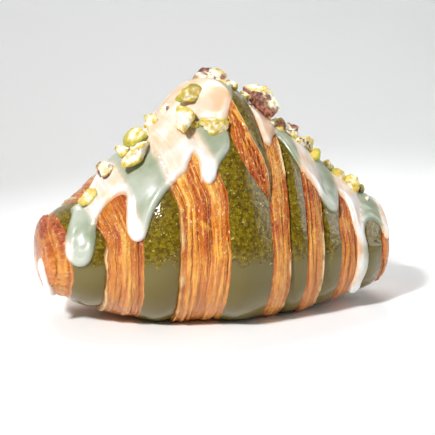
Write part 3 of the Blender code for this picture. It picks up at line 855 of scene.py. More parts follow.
@dataclass
class Icing:
    """Icing poured over the ridge: a closed sheet with rounded edges and streams that ran down both sides.

    Attributes:
        pastry: The dough it lies on.
        front: Its edge on the front from left to right, as stations and angles in degrees.
        back: Its edge on the far side from right to left.
        drops: Thicker ends of the streams: station, angle, radius and added thickness in millimetres.
        span: Stations and angles in degrees between which it lies.
        name: Name of the piece.
        step_mm: Spacing of its mesh.
        film_mm: Its usual thickness.
        rim_mm: How wide its rounded edge is.
        edge_radius_mm: Radius at which its edge is drawn.
        grid_radius_mm: Radius at which its mesh is spaced.
        drop_radius_mm: Radius at which the streams' ends are measured.
    """

    pastry: Pastry
    name: str = "poured_icing"
    span: tuple[float, float, float, float] = (-72.4, 73.0, -84.0, 144.0)
    step_mm: float = 0.5
    film_mm: float = 0.65
    rim_mm: float = 1.5
    edge_radius_mm: float = 36.0
    grid_radius_mm: float = 38.0
    drop_radius_mm: float = 30.0
    front: Stations = (
        (-60.8, 24), (-60.9, 31), (-61.5, 37), (-62.6, 44), (-63.6, 51), (-64.6, 60), (-65.1, 70),
        (-64.8, 80), (-63.2, 88), (-60.8, 91), (-58.2, 89), (-56.3, 82), (-55.0, 70), (-54.2, 59),
        (-52.6, 50), (-49.8, 44.5), (-46.6, 42), (-43.2, 42.5), (-41.3, 47), (-41.6, 58), (-42.3, 68),
        (-42.0, 76), (-40.0, 81.5), (-37.6, 81.5), (-36.0, 77.5), (-34.6, 72), (-32.0, 66.5), (-28.8, 62.5),
        (-25.4, 60), (-22.6, 58.5), (-20.2, 58), (-18.8, 54.5), (-16.8, 51.5), (-14.9, 53.5), (-14.3, 59),
        (-14.2, 65), (-12.4, 68.5), (-10.2, 67.2), (-8.8, 63), (-6.8, 59.5), (-4.6, 57), (-2.6, 53),
        (-2.2, 47), (-2.6, 41), (-1.2, 35.5), (0.8, 29), (2.6, 21), (3.4, 13), (4.4, 5), (5.8, 0),
        (7.8, -1), (9.8, 2), (11.4, 8), (12.3, 15), (12.9, 22), (13.3, 30), (13.5, 37), (14.2, 42),
        (15.6, 42), (16.8, 37), (18.6, 29.5), (20.6, 24), (22.4, 26), (24.0, 31), (26.0, 37.5), (28.2, 44),
        (30.4, 48.5), (33.4, 52), (36.6, 58.5), (39.8, 64), (42.2, 63.5), (44.0, 57.5), (45.4, 47),
        (46.4, 40.5), (47.8, 40.5), (49.4, 45), (50.5, 54), (51.0, 66), (52.2, 77), (52.6, 90), (52.2, 105),
        (51.4, 118), (50.6, 129), (51.2, 137), (53.2, 139), (55.2, 132), (56.4, 118), (57.2, 100),
        (56.7, 84), (55.9, 71), (57.2, 61.5), (59.6, 55.5), (62.2, 53.5), (65.4, 56.5), (67.2, 66),
        (67.9, 74), (68.8, 72), (69.3, 52), (69.4, 22))
    back: Stations = (
        (69.3, -12), (68.6, -34), (66.0, -46), (64.0, -62), (62.6, -74), (60.8, -78), (59.2, -73),
        (58.2, -58), (55.0, -49), (50.0, -48), (46.8, -56), (46.2, -72), (44.4, -80), (42.4, -74),
        (41.4, -56), (34.0, -46), (28.0, -50), (26.4, -62), (24.6, -67), (22.8, -62), (21.0, -49),
        (13.0, -50), (6.8, -58), (5.8, -70), (3.8, -76), (1.6, -71), (0.4, -58), (-8.0, -50), (-16.8, -48),
        (-18.4, -60), (-20.4, -68), (-22.6, -62), (-24.0, -50), (-31.0, -52), (-37.8, -48), (-39.6, -62),
        (-41.4, -67), (-43.0, -60), (-43.6, -44), (-44.0, -28), (-45.4, -14), (-48.6, -1), (-51.6, 9.5),
        (-54.6, 17.5), (-57.4, 22.5), (-59.4, 23.5))
    drops: tuple[tuple[float, float, float, float], ...] = (
        (-60.6, 84, 4.0, 0.4), (-60.4, 60, 6.0, -0.3), (-39.2, 76, 3.4, 0.9), (-12.2, 63.5, 3.2, 0.8),
        (12.8, 42, 2.2, 0.4), (1.5, 18, 8.0, -0.8), (9.0, 2, 5.0, -0.4), (-13.0, 12, 9.0, -0.35),
        (-47.0, 32, 5.0, -0.25), (53.0, 134, 3.4, 0.7), (41.0, 59, 3.0, 0.8), (61.0, -72, 3.2, 0.8),
        (44.4, -74, 3.2, 0.8), (24.6, -62, 2.8, 0.7), (3.8, -70, 3.2, 0.8), (-20.4, -62, 3.0, 0.8),
        (-43.2, -63, 3.2, 0.8))

    def outline(self) -> tuple[Array, Array]:
        """Draws the closed edge smoothly through its stations.

        Returns:
            Stations and angles of close points along the edge.
        """
        knots = np.array(self.front + self.back)
        flat = np.stack([knots[:, 0], np.radians(knots[:, 1]) * self.edge_radius_mm], -1)
        before, start, stop, after = (np.roll(flat, shift, axis=0) for shift in (1, 0, -1, -2))
        t = np.linspace(0, 1, 48, endpoint=False)[None, :, None]

        def gap(a: Array, b: Array) -> Array:
            """Root of the distance between points, which keeps the curve free of loops."""
            return np.sqrt(np.linalg.norm(b - a, axis=1))[:, None, None] + 1e-6

        t1 = gap(before, start)
        t2 = t1 + gap(start, stop)
        t3 = t2 + gap(stop, after)
        at = t1 + (t2 - t1) * t
        p0, p1, p2, p3 = (p[:, None, :] for p in (before, start, stop, after))
        a1 = (t1 - at) / t1 * p0 + at / t1 * p1
        a2 = (t2 - at) / (t2 - t1) * p1 + (at - t1) / (t2 - t1) * p2
        a3 = (t3 - at) / (t3 - t2) * p2 + (at - t2) / (t3 - t2) * p3
        b1 = (t2 - at) / t2 * a1 + at / t2 * a2
        b2 = (t3 - at) / (t3 - t1) * a2 + (at - t1) / (t3 - t1) * a3
        line = ((t2 - at) / (t2 - t1) * b1 + (at - t1) / (t2 - t1) * b2).reshape(-1, 2)
        return line[:, 0], line[:, 1] / self.edge_radius_mm

    def distances(self, x: Array, theta: Array) -> Array:
        """Millimetres in from the icing's edge over a grid, negative outside it.

        Args:
            x: Stations of the grid's columns.
            theta: Angles of its rows.

        Returns:
            The distances.
        """
        edge_x, edge_theta = self.outline()
        roll = self.pastry.roll
        tree = KDTree(len(edge_x))
        for index, place in enumerate(roll.point(edge_x, edge_theta, np.ones(edge_x.shape))):
            tree.insert(place, index)
        tree.balance()
        grid_x, grid_theta = np.meshgrid(x, theta, indexing="ij")
        places = roll.point(grid_x, grid_theta, np.ones(grid_x.shape)).reshape(-1, 3)
        away = np.array([tree.find(place)[2] for place in places]).reshape(grid_x.shape)
        inside = np.zeros(grid_x.shape, bool)
        next_x, next_theta = np.roll(edge_x, -1), np.roll(edge_theta, -1)
        for row, angle in enumerate(theta):
            crosses = (edge_theta > angle) != (next_theta > angle)
            share = (angle - edge_theta[crosses]) / (next_theta[crosses] - edge_theta[crosses])
            hits = np.sort(edge_x[crosses] + share * (next_x[crosses] - edge_x[crosses]))
            inside[:, row] = np.searchsorted(hits, x) % 2 == 1
        return np.where(inside, away, -away)

    def lay(self) -> None:
        """Works out the icing's surface over the whole grid, for the mesh and for what lies on it."""
        self.x = np.arange(self.span[0], self.span[1], self.step_mm)
        step = math.degrees(self.step_mm / self.grid_radius_mm)
        self.theta = np.radians(np.arange(self.span[2], self.span[3], step))
        x, theta = np.meshgrid(self.x, self.theta, indexing="ij")
        relief, _, cut = self.pastry.surface(x, theta)
        filled = blur(relief, 1.1 / self.step_mm)
        distance = self.distances(self.x, self.theta)
        ring_a, ring_b = ring(theta)
        pool = 0.50 * unevenness(x / 9, ring_a / 11, ring_b / 11, 83)
        pool = pool + 0.25 * unevenness(x / 3.5, ring_a / 4, ring_b / 4, 84)
        beaded = np.clip(0.3 + 0.4 * unevenness(x / 6, ring_a / 6, ring_b / 6, 85), 0.02, 1)
        swell = beaded * np.exp(-((distance - 1.4) / 1.0) ** 2)
        for place, angle, radius, added in self.drops:
            around = (theta - math.radians(angle)) * self.drop_radius_mm
            near = ((x - place) ** 2 + around ** 2) / radius ** 2
            swell = np.maximum(swell + added * np.exp(-near), -0.42)
        depth = np.clip(distance / self.rim_mm, 0, 1)
        thick = (self.film_mm * (1 + pool) + swell) * np.sqrt(np.clip(1 - (1 - depth) ** 2, 0, 1))
        base = np.maximum(filled, relief - 0.5)
        top = np.maximum(base + thick, relief + 0.25 * depth)
        top = np.where(distance < 0, base + 2.2 * distance - 0.15, top)
        self.distance, self.top = distance, top
        self.look = (np.clip((0.3 * (top - relief) + 0.7 * thick) / 2.0, 0, 1), blur(cut, 0.9 / self.step_mm),
                     np.clip(swell / 1.2, 0, 1), depth)

    def at(self, values: Array, x: float, theta: float) -> float:
        """Reads one of the icing's grids at a station and an angle."""
        i = int(np.clip(round((x - self.x[0]) / self.step_mm), 0, len(self.x) - 1))
        return float(values[i, int(np.argmin(np.abs(self.theta - theta)))])

    def build(self) -> bpy.types.Object:
        """Builds the icing with the attributes its material reads.

        Returns:
            The closed piece.
        """
        self.lay()
        mesh, column, row = numbered_grid(len(self.x) - 1, len(self.theta) - 1)
        store_colour(mesh, "glaze", [channel[column, row] for channel in self.look])
        places = self.pastry.roll.point(self.x[column], self.theta[row], self.top[column, row], 1.0, 0.6)
        mesh.vertices.foreach_set("co", (places * MM).ravel())
        keep = self.distance[column, row] > -0.9
        bm = bmesh.new()
        bm.from_mesh(mesh)
        bpy.data.meshes.remove(mesh)
        bm.verts.ensure_lookup_table()
        away = [vert for vert, kept in zip(bm.verts, keep) if not kept]
        bmesh.ops.delete(bm, geom=away, context="VERTS")
        bmesh.ops.recalc_face_normals(bm, faces=bm.faces[:])
        crown = max(bm.faces, key=lambda face: face.calc_center_median().z)
        if crown.normal.z < 0:
            bmesh.ops.reverse_faces(bm, faces=bm.faces[:])
        bmesh.ops.solidify(bm, geom=bm.faces[:], thickness=-0.7 * MM)
        bmesh.ops.recalc_face_normals(bm, faces=bm.faces[:])
        return mesh_object(self.name, bm)


@dataclass
class Rim:
    """Thin run of icing that hangs round the lower edge of the left end.

    Attributes:
        pastry: The dough it clings to.
        path: Stations and angles in degrees along it.
        radius_mm: Its half width at its thickest.
        flatness: Its height as a share of its width.
        lift_mm: How far its middle line lies above the plain form.
    """

    pastry: Pastry
    path: Stations = ((-74.3, 84), (-74.1, 100), (-73.5, 116), (-72.6, 131), (-71.3, 144), (-69.9, 155),
                      (-68.2, 165))
    radius_mm: float = 2.3
    flatness: float = 0.7
    lift_mm: float = 1.4

    def build(self) -> bpy.types.Object:
        """Builds the run as a closed tube laid along its path.

        Returns:
            The closed piece.
        """
        roll = self.pastry.roll
        along, around = 60, 24
        knots = np.array(self.path)
        share = np.linspace(0, 1, along + 1)
        marks = np.linspace(0, 1, len(knots))
        x = np.interp(share, marks, knots[:, 0])
        theta = np.radians(np.interp(share, marks, knots[:, 1]))
        centre = roll.point(x, theta, np.full(x.shape, self.lift_mm))
        ahead = np.gradient(centre, axis=0)
        ahead /= np.linalg.norm(ahead, axis=1)[:, None]
        side = np.cross(ahead, np.array([1.0, 0.0, 0.0]))
        side /= np.linalg.norm(side, axis=1)[:, None]
        out = np.cross(side, ahead)
        uneven = 1 + 0.3 * unevenness(share * 6, 0 * share, 0 * share, 64)
        radius = self.radius_mm * uneven * np.sqrt(np.clip(1 - (2 * share - 1) ** 2, 0, 1)) ** 0.8
        angle = np.linspace(0, 2 * math.pi, around + 1)
        sideways = side[:, None] * np.cos(angle)[None, :, None]
        outwards = self.flatness * out[:, None] * np.sin(angle)[None, :, None]
        points = centre[:, None] + radius[:, None, None] * (sideways + outwards)
        points[:, -1] = points[:, 0]
        points[..., 0] = np.maximum(points[..., 0], roll.left_end + roll.shift[0])
        mesh, column, row = numbered_grid(along, around)
        ones = np.ones(len(column))
        store_colour(mesh, "glaze", [0.75 * ones, ones, 0 * ones, ones])
        return closed_piece("tip_icing", mesh, points[column, row])


def blur(values: Array, spread: float) -> Array:
    """Evens a grid of numbers out both ways over a spread in cells."""
    reach = int(3 * spread) + 1
    kernel = np.exp(-0.5 * (np.arange(-reach, reach + 1) / spread) ** 2)
    kernel /= kernel.sum()
    for axis in (0, 1):
        padding = [(reach, reach) if a == axis else (0, 0) for a in (0, 1)]
        padded = np.pad(values, padding, mode="edge")
        size = values.shape[axis]
        values = sum(weight * np.take(padded, range(i, i + size), axis) for i, weight in enumerate(kernel))
    return values


class Kernel(Enum):
    """What a piece of pistachio shows: skin on its outside, skin on its breaks, and how green it is."""

    SKINNED = (0.86, 0.46, 0.15)
    GREEN = (0.14, 0.05, 0.80)
    PALE = (0.24, 0.06, 0.14)
    YELLOW = (0.20, 0.12, 0.72)
    DARK = (0.66, 0.32, 0.05)


@dataclass(frozen=True)
class Nut:
    """One chopped piece: where it lies, its size in millimetres, how it is turned and what it shows."""

    x: float
    theta: float
    length: float
    width: float
    thickness: float
    turned: float
    lean: float
    kernel: Kernel


@dataclass
class Nuts:
    """Chopped pistachios on the icing.

    Attributes:
        icing: What they lie on.
        front: Pieces seen from the front.
        back_count: Number of pieces on the far side.
        crumb_count: Number of small crumbs.
        ceiling_mm: Height that no piece passes.
        seed: Which irregularity.
        cuts: How many times each piece was chopped.
    """

    icing: Icing
    seed: int = 7
    back_count: int = 12
    crumb_count: int = 130
    ceiling_mm: float = 99.0
    cuts: int = 9
    front: tuple[Nut, ...] = (
        Nut(-0.6, -10, 15.0, 7.5, 5.6, 6, 4, Kernel.SKINNED),
        Nut(5.4, -3, 6.0, 5.0, 3.4, 35, 0, Kernel.PALE), Nut(3.6, 6, 4.6, 3.4, 2.6, 80, 0, Kernel.PALE),
        Nut(-13.0, 16, 10.5, 6.5, 5.5, 25, 25, Kernel.GREEN),
        Nut(-17.6, 30, 14.5, 7.5, 5.0, 82, 14, Kernel.PALE),
        Nut(-6.6, 42, 11.0, 6.5, 4.4, -14, 8, Kernel.YELLOW),
        Nut(-13.6, 35, 4.0, 3.0, 2.4, 0, 0, Kernel.YELLOW),
        Nut(-21.6, 6, 8.0, 3.2, 2.8, 12, 0, Kernel.DARK),
        Nut(-32.6, 13, 9.5, 6.5, 5.0, 30, 15, Kernel.YELLOW),
        Nut(-35.6, 19, 5.6, 4.0, 3.4, 60, 0, Kernel.PALE),
        Nut(-34.6, 29, 13.5, 7.5, 5.0, 8, 18, Kernel.PALE),
        Nut(-38.6, 8, 7.0, 5.0, 4.2, 60, 10, Kernel.PALE),
        Nut(-46.2, 12, 9.0, 5.5, 4.2, 62, 12, Kernel.SKINNED),
        Nut(-26.6, 2, 5.6, 4.4, 3.4, 0, 5, Kernel.PALE), Nut(-54.4, 28, 8.0, 4.6, 3.6, 28, 8, Kernel.GREEN),
        Nut(-57.0, 24, 3.4, 2.6, 2.0, 0, 0, Kernel.YELLOW),
        Nut(12.6, -6, 7.0, 5.4, 5.0, -30, 30, Kernel.PALE),
        Nut(17.2, 0, 21.0, 7.5, 8.0, -50, 6, Kernel.DARK),
        Nut(23.6, 6, 6.0, 4.6, 4.4, -40, 0, Kernel.SKINNED),
        Nut(29.4, 3, 9.0, 7.0, 6.0, -35, 10, Kernel.SKINNED),
        Nut(30.0, -6, 5.6, 3.2, 3.0, -20, 30, Kernel.DARK),
        Nut(36.0, 6, 8.0, 6.0, 5.4, 20, 10, Kernel.YELLOW),
        Nut(33.0, 12, 5.6, 4.6, 3.4, 75, 0, Kernel.SKINNED),
        Nut(39.6, 14, 6.4, 5.0, 4.2, 70, 8, Kernel.YELLOW),
        Nut(45.6, 8, 5.4, 4.4, 3.6, 10, 0, Kernel.YELLOW),
        Nut(51.0, 12, 6.6, 5.4, 4.4, 15, 5, Kernel.YELLOW),
        Nut(55.2, 18, 7.4, 5.6, 4.6, -35, 10, Kernel.YELLOW),
        Nut(53.0, 4, 5.0, 4.0, 3.4, 60, 0, Kernel.PALE), Nut(58.6, 14, 5.0, 3.8, 3.2, 20, 0, Kernel.YELLOW),
        Nut(-61.0, 0, 4.4, 3.2, 2.6, 30, 0, Kernel.PALE), Nut(24.4, 14, 3.8, 3.0, 2.4, 0, 0, Kernel.GREEN))

    def shape(self, nut: Nut, detail: int, rng: random.Random) -> bmesh.types.BMesh:
        """Carves one piece: a rounded kernel chopped along several planes.

        Args:
            nut: What to carve.
            detail: Subdivision of the ball it starts from.
            rng: Source of its irregularity.

        Returns:
            The piece at the origin, in millimetres, flat side down.
        """
        bm = bmesh.new()
        bmesh.ops.create_icosphere(bm, subdivisions=detail, radius=1.0)
        layer = bm.verts.layers.float_color.new("nut")
        away = np.array([vert.co for vert in bm.verts])
        half = np.array([nut.length * 0.68, nut.width * 0.72, nut.thickness * 0.74])
        ball = 1 / np.sqrt(((away / half) ** 2).sum(1))
        reach = ball.copy()
        for index in range(self.cuts):
            normal = np.array([rng.uniform(-1, 1), rng.uniform(-1, 1), rng.uniform(-0.2, 1.0)])
            deep = rng.uniform(0.46, 0.78)
            if index == 0:
                normal = np.array([rng.uniform(-0.2, 0.2), rng.uniform(-0.2, 0.2), -1])
            elif index == 1:
                normal = np.array([rng.uniform(-0.25, 0.25), rng.choice((-1, 1)) * rng.uniform(0.5, 1),
                                   rng.uniform(0.3, 0.9)])
                deep = 0.52 if nut.kernel is Kernel.DARK else rng.uniform(0.30, 0.48)
            normal /= np.linalg.norm(normal)
            support = np.sqrt(((half * normal) ** 2).sum())
            facing = away @ normal
            limit = np.where(facing > 0.05, deep * support / np.maximum(facing, 0.05), 99.0)
            reach = -soft_max(-reach, -limit, 0.03)
        broken = smooth_step(0.02, 0.08, 1 - reach / ball)
        where = away * reach[:, None]
        salt = rng.uniform(0, 50)
        crag = unevenness(where[:, 0] / 1.7 + salt, where[:, 1] / 1.7, where[:, 2] / 1.7, 91)
        fine = unevenness(where[:, 0] / 0.7 + salt, where[:, 1] / 0.7, where[:, 2] / 0.7, 92)
        rough = min(1.0, min(half) / 2.0)
        reach = reach + rough * ((0.20 + 0.26 * broken) * crag + (0.10 + 0.16 * broken) * fine)
        outside, inside, green = nut.kernel.value
        patch = 0.5 + 0.45 * unevenness(where[:, 0] / 3.0 + salt, where[:, 1] / 3.0, where[:, 2] / 3.0, 93)
        patch = patch + 0.16 * fine + 0.12 * crag
        share = outside + (inside - outside) * broken
        skin = smooth_step(-0.04, 0.04, share - patch)
        outer = np.clip(np.sqrt(((where / half) ** 2).sum(1)), 0, 1)
        tone = 0.5 * green + (0.42 + 0.5 * green) * smooth_step(0.70, 0.92, outer)
        tone = np.clip(tone + 0.35 * crag, 0, 1)
        for index, vert in enumerate(bm.verts):
            vert.co = Vector(away[index] * reach[index])
            vert[layer] = (skin[index], broken[index], tone[index], 0.5 + 0.5 * fine[index])
        turned = Matrix.Rotation(math.radians(nut.turned), 4, "Z")
        spin = turned @ Matrix.Rotation(math.radians(nut.lean), 4, "Y")
        bmesh.ops.transform(bm, matrix=spin, verts=bm.verts[:])
        lowest = min(vert.co.z for vert in bm.verts)
        bmesh.ops.translate(bm, vec=Vector((0, 0, -lowest)), verts=bm.verts[:])
        return bm

    def place(self, nut: Nut, sunk: float) -> Matrix:
        """Turns and moves a piece from the origin onto the icing, sunk into it a little."""
        theta = math.radians(nut.theta)
        relief = self.icing.at(self.icing.top, nut.x, theta)
        here, out, along = self.icing.pastry.roll.outward(nut.x, theta, relief)
        side = out.cross(along).normalized()
        basis = Matrix((along, side, out)).transposed().to_4x4()
        return Matrix.Translation(here - out * sunk) @ basis

    def gather(self, name: str, nuts: Sequence[Nut], detail: int, sunk: float) -> bpy.types.Object:
        """Joins several pieces into one object.

        Args:
            name: Name of the object.
            nuts: The pieces.
            detail: Subdivision of each.
            sunk: How deep each sits in the icing, in millimetres.

        Returns:
            The object.
        """
        rng = random.Random(self.seed)
        whole = bmesh.new()
        whole.verts.layers.float_color.new("nut")
        for nut in nuts:
            piece = self.shape(nut, detail, rng)
            onto = Matrix.Scale(MM, 4) @ self.place(nut, sunk)
            bmesh.ops.transform(piece, matrix=onto, verts=piece.verts[:])
            over = max(vert.co.z for vert in piece.verts) - self.ceiling_mm * MM
            bmesh.ops.translate(piece, vec=Vector((0, 0, -max(0.0, over))), verts=piece.verts[:])
            bmesh.ops.recalc_face_normals(piece, faces=piece.faces[:])
            mesh = bpy.data.meshes.new("nut")
            piece.to_mesh(mesh)
            piece.free()
            whole.from_mesh(mesh)
            bpy.data.meshes.remove(mesh)
        gathered = mesh_object(name, whole)
        for polygon in gathered.data.polygons:
            polygon.use_smooth = False
        return gathered

    def far_side(self) -> list[Nut]:
        """Pieces for the side that the photograph doesn't show, like those that it does."""
        rng = random.Random(self.seed + 1)
        nuts = []
        for index in range(self.back_count):
            x = -56.0 + 112.0 * (index + 0.5) / self.back_count + rng.uniform(-3, 3)
            length = rng.uniform(5.0, 10.0)
            kernel = rng.choice([Kernel.GREEN, Kernel.PALE, Kernel.YELLOW, Kernel.SKINNED])
            nuts.append(Nut(x, rng.uniform(-48, -22), length, 0.65 * length, 0.45 * length,
                            rng.uniform(0, 180), 5, kernel))
        return nuts

    def crumbs(self) -> list[Nut]:
        """Small crumbs strewn around the larger pieces."""
        rng = random.Random(self.seed + 2)
        nuts = []
        hosts = [nut for nut in self.front if nut.kernel is not Kernel.DARK] + self.far_side()
        while len(nuts) < self.crumb_count:
            host = rng.choice(hosts)
            x, theta = host.x + rng.gauss(0, 4.0), host.theta + rng.gauss(0, 6.0)
            if self.icing.at(self.icing.distance, x, math.radians(theta)) < 0.8:
                continue
            size = 0.7 + 2.6 * rng.random() ** 2.4
            nuts.append(Nut(x, theta, size * 1.3, size, size * 0.8, rng.uniform(0, 180), 0,
                            rng.choice([Kernel.GREEN, Kernel.YELLOW, Kernel.PALE])))
        return nuts


# Settings that many nodes share: a smooth rise or fall, and a mix of the colours at inputs 6 and 7.
SMOOTH = {"interpolation_type": "SMOOTHSTEP"}
COLOURS = {"data_type": "RGBA"}


def add_node(tree: bpy.types.NodeTree, kind: str, settings: dict | None = None,
             links: dict | None = None) -> bpy.types.Node:
    """Adds a node with its settings and links.

    Args:
        tree: Node tree to add to.
        kind: Blender's name for the node.
        settings: Values by property name, or by input name or number, with a colour as its hex code.
        links: Output sockets by input name or number.

    Returns:
        The node.
    """
    node = tree.nodes.new(kind)
    for key, value in (settings or {}).items():
        if isinstance(key, str) and hasattr(node, key):
            setattr(node, key, value)
        else:
            node.inputs[key].default_value = hex_colour(value) if isinstance(value, str) else value
    for key, source in (links or {}).items():
        tree.links.new(source, node.inputs[key])
    return node


def set_steps(band: bpy.types.ColorRamp, steps: Sequence[tuple[float, str]]) -> None:
    """Sets the colours of a ramp.

    Args:
        band: The ramp.
        steps: Places from 0 to 1 with their hex colours.
    """
    while len(band.elements) < len(steps):
        band.elements.new(0.5)
    for element, (place, code) in zip(band.elements, steps):
        element.position = place
        element.color = hex_colour(code)


def new_material(name: str) -> tuple[bpy.types.Material, bpy.types.NodeTree, bpy.types.Node]:
    """Makes a material and returns it with its node tree and its shader."""
    material = bpy.data.materials.new(name)
    material.use_nodes = True
    tree = material.node_tree
    return material, tree, tree.nodes["Principled BSDF"]


@dataclass(frozen=True)
class GreenDough:
    """Baked green dough under egg wash: glossy dark olive with yellow specks; smoother low down, where a
    paler tone is a painted reflection of the floor.
    """

    name: str = "Egg-washed green dough"
    dark: str = "4A3C02"
    body: str = "685301"
    bright: str = "827006"
    speck: str = "A89622"
    flake_and_glint: str = "CDC070"
    # Paler, greyer tone of the lower part: a painted reflection of the bright floor.
    lower: str = "685A1C"
    pale: str = "C9B47C"
    mottle_mm: float = 1.6
    speck_mm: float = 0.8
    # Height below which the bump is weaker and the floor's reflection is painted.
    smooth_and_reflected_below_mm: float = 28.0
    shore_mm: float = 16.0

    def colour(self, tree: bpy.types.NodeTree, where: bpy.types.NodeSocket,
               upper: bpy.types.NodeSocket) -> bpy.types.NodeSocket:
        """Mottled olive with yellow specks and pale flaking above, and below an even paler tone that is a
        painted reflection of the floor.

        Args:
            tree: Node tree of the material.
            where: Place on the piece.
            upper: 1 on the upper part and 0 on the smooth lower part, where the floor's reflection is
                painted.

        Returns:
            The colour.
        """
        mottle = add_node(tree, "ShaderNodeTexNoise",
                          {"Scale": 1000 / self.mottle_mm, "Detail": 3.0, "Roughness": 0.6},
                          {"Vector": where})
        spread = add_node(tree, "ShaderNodeMapRange", SMOOTH | {"From Min": 0.3, "From Max": 0.7},
                          {"Value": mottle.outputs["Fac"]})
        base = add_node(tree, "ShaderNodeValToRGB", links={"Fac": spread.outputs["Result"]})
        set_steps(base.color_ramp, ((0.0, self.dark), (0.5, self.body), (1.0, self.bright)))
        specks = add_node(tree, "ShaderNodeTexVoronoi", {"Scale": 1000 / self.speck_mm}, {"Vector": where})
        dots = add_node(tree, "ShaderNodeMapRange", SMOOTH | {"From Min": 0.46, "From Max": 0.14},
                        {"Value": specks.outputs["Distance"]})
        patches = add_node(tree, "ShaderNodeTexNoise", {"Scale": 300.0, "Detail": 4.0}, {"Vector": where})
        some = add_node(tree, "ShaderNodeMapRange", SMOOTH | {"From Min": 0.44, "From Max": 0.70},
                        {"Value": patches.outputs["Fac"]})
        both = add_node(tree, "ShaderNodeMath", {"operation": "MULTIPLY"},
                        {0: dots.outputs["Result"], 1: some.outputs["Result"]})
        speckled = add_node(tree, "ShaderNodeMix", COLOURS | {7: self.speck},
                            {0: both.outputs[0], 6: base.outputs["Color"]})
        flake_and_glint_noise = add_node(tree, "ShaderNodeTexNoise", {"Scale": 640.0, "Detail": 2.0, "Roughness": 0.7},
                          {"Vector": where})
        few = add_node(tree, "ShaderNodeMapRange",
                       SMOOTH | {"From Min": 0.65, "From Max": 0.71, "To Max": 0.7},
                       {"Value": flake_and_glint_noise.outputs["Fac"]})
        flaked = add_node(tree, "ShaderNodeMix", COLOURS | {7: self.flake_and_glint},
                          {0: few.outputs["Result"], 6: speckled.outputs[2]})
        # Below the wavy shore the paler lower tone stands for the reflection of the bright floor: painted
        # reflection.
        whole = add_node(tree, "ShaderNodeMix", COLOURS | {6: self.lower}, {0: upper, 7: flaked.outputs[2]})
        return whole.outputs[2]

    def make(self) -> bpy.types.Material:
        """Makes the material."""
        material, tree, shader = new_material(self.name)
        where = add_node(tree, "ShaderNodeTexCoord").outputs["Object"]
        look = add_node(tree, "ShaderNodeAttribute", {"attribute_name": "crust"})
        place = add_node(tree, "ShaderNodeSeparateXYZ", links={"Vector": where})
        # Wavy shore between the upper part and the lower part, where the bump is weaker and the floor's
        # reflection is painted.
        swell = add_node(tree, "ShaderNodeTexNoise", {"Scale": 190.0, "Detail": 2.0}, {"Vector": where})
        wavy = add_node(tree, "ShaderNodeMath", {"operation": "MULTIPLY_ADD", 1: self.shore_mm / 1000},
                        {0: swell.outputs["Fac"], 2: place.outputs["Z"]})
        shore = {"From Min": (self.smooth_and_reflected_below_mm + 0.49 * self.shore_mm) / 1000,
                 "From Max": (self.smooth_and_reflected_below_mm + 0.52 * self.shore_mm) / 1000}
        above = add_node(tree, "ShaderNodeMapRange", SMOOTH | shore, {"Value": wavy.outputs[0]})
        upper = above.outputs["Result"]
        edged = add_node(tree, "ShaderNodeMix", COLOURS | {7: self.pale},
                         {0: look.outputs["Alpha"], 6: self.colour(tree, where, upper)})
        tree.links.new(edged.outputs[2], shader.inputs["Base Color"])
        blister = add_node(tree, "ShaderNodeTexNoise", {"Scale": 1000.0, "Detail": 2.0}, {"Vector": where})
        relief = add_node(tree, "ShaderNodeMath", {"operation": "ADD"},
                          {0: swell.outputs["Fac"], 1: blister.outputs["Fac"]})
        strength = add_node(tree, "ShaderNodeMapRange", SMOOTH | {"To Min": 0.08, "To Max": 0.85},
                            {"Value": upper})
        bump = add_node(tree, "ShaderNodeBump", {"Distance": 0.00014},
                        {"Height": relief.outputs[0], "Strength": strength.outputs["Result"]})
        tree.links.new(bump.outputs["Normal"], shader.inputs["Normal"])
        tree.links.new(bump.outputs["Normal"], shader.inputs["Coat Normal"])
        shader.inputs["Roughness"].default_value = 0.5
        shader.inputs["Specular IOR Level"].default_value = 0.1
        shader.inputs["Coat Weight"].default_value = 1.0
        shader.inputs["Coat Roughness"].default_value = 0.06
        shader.inputs["Coat IOR"].default_value = 1.5
        return material


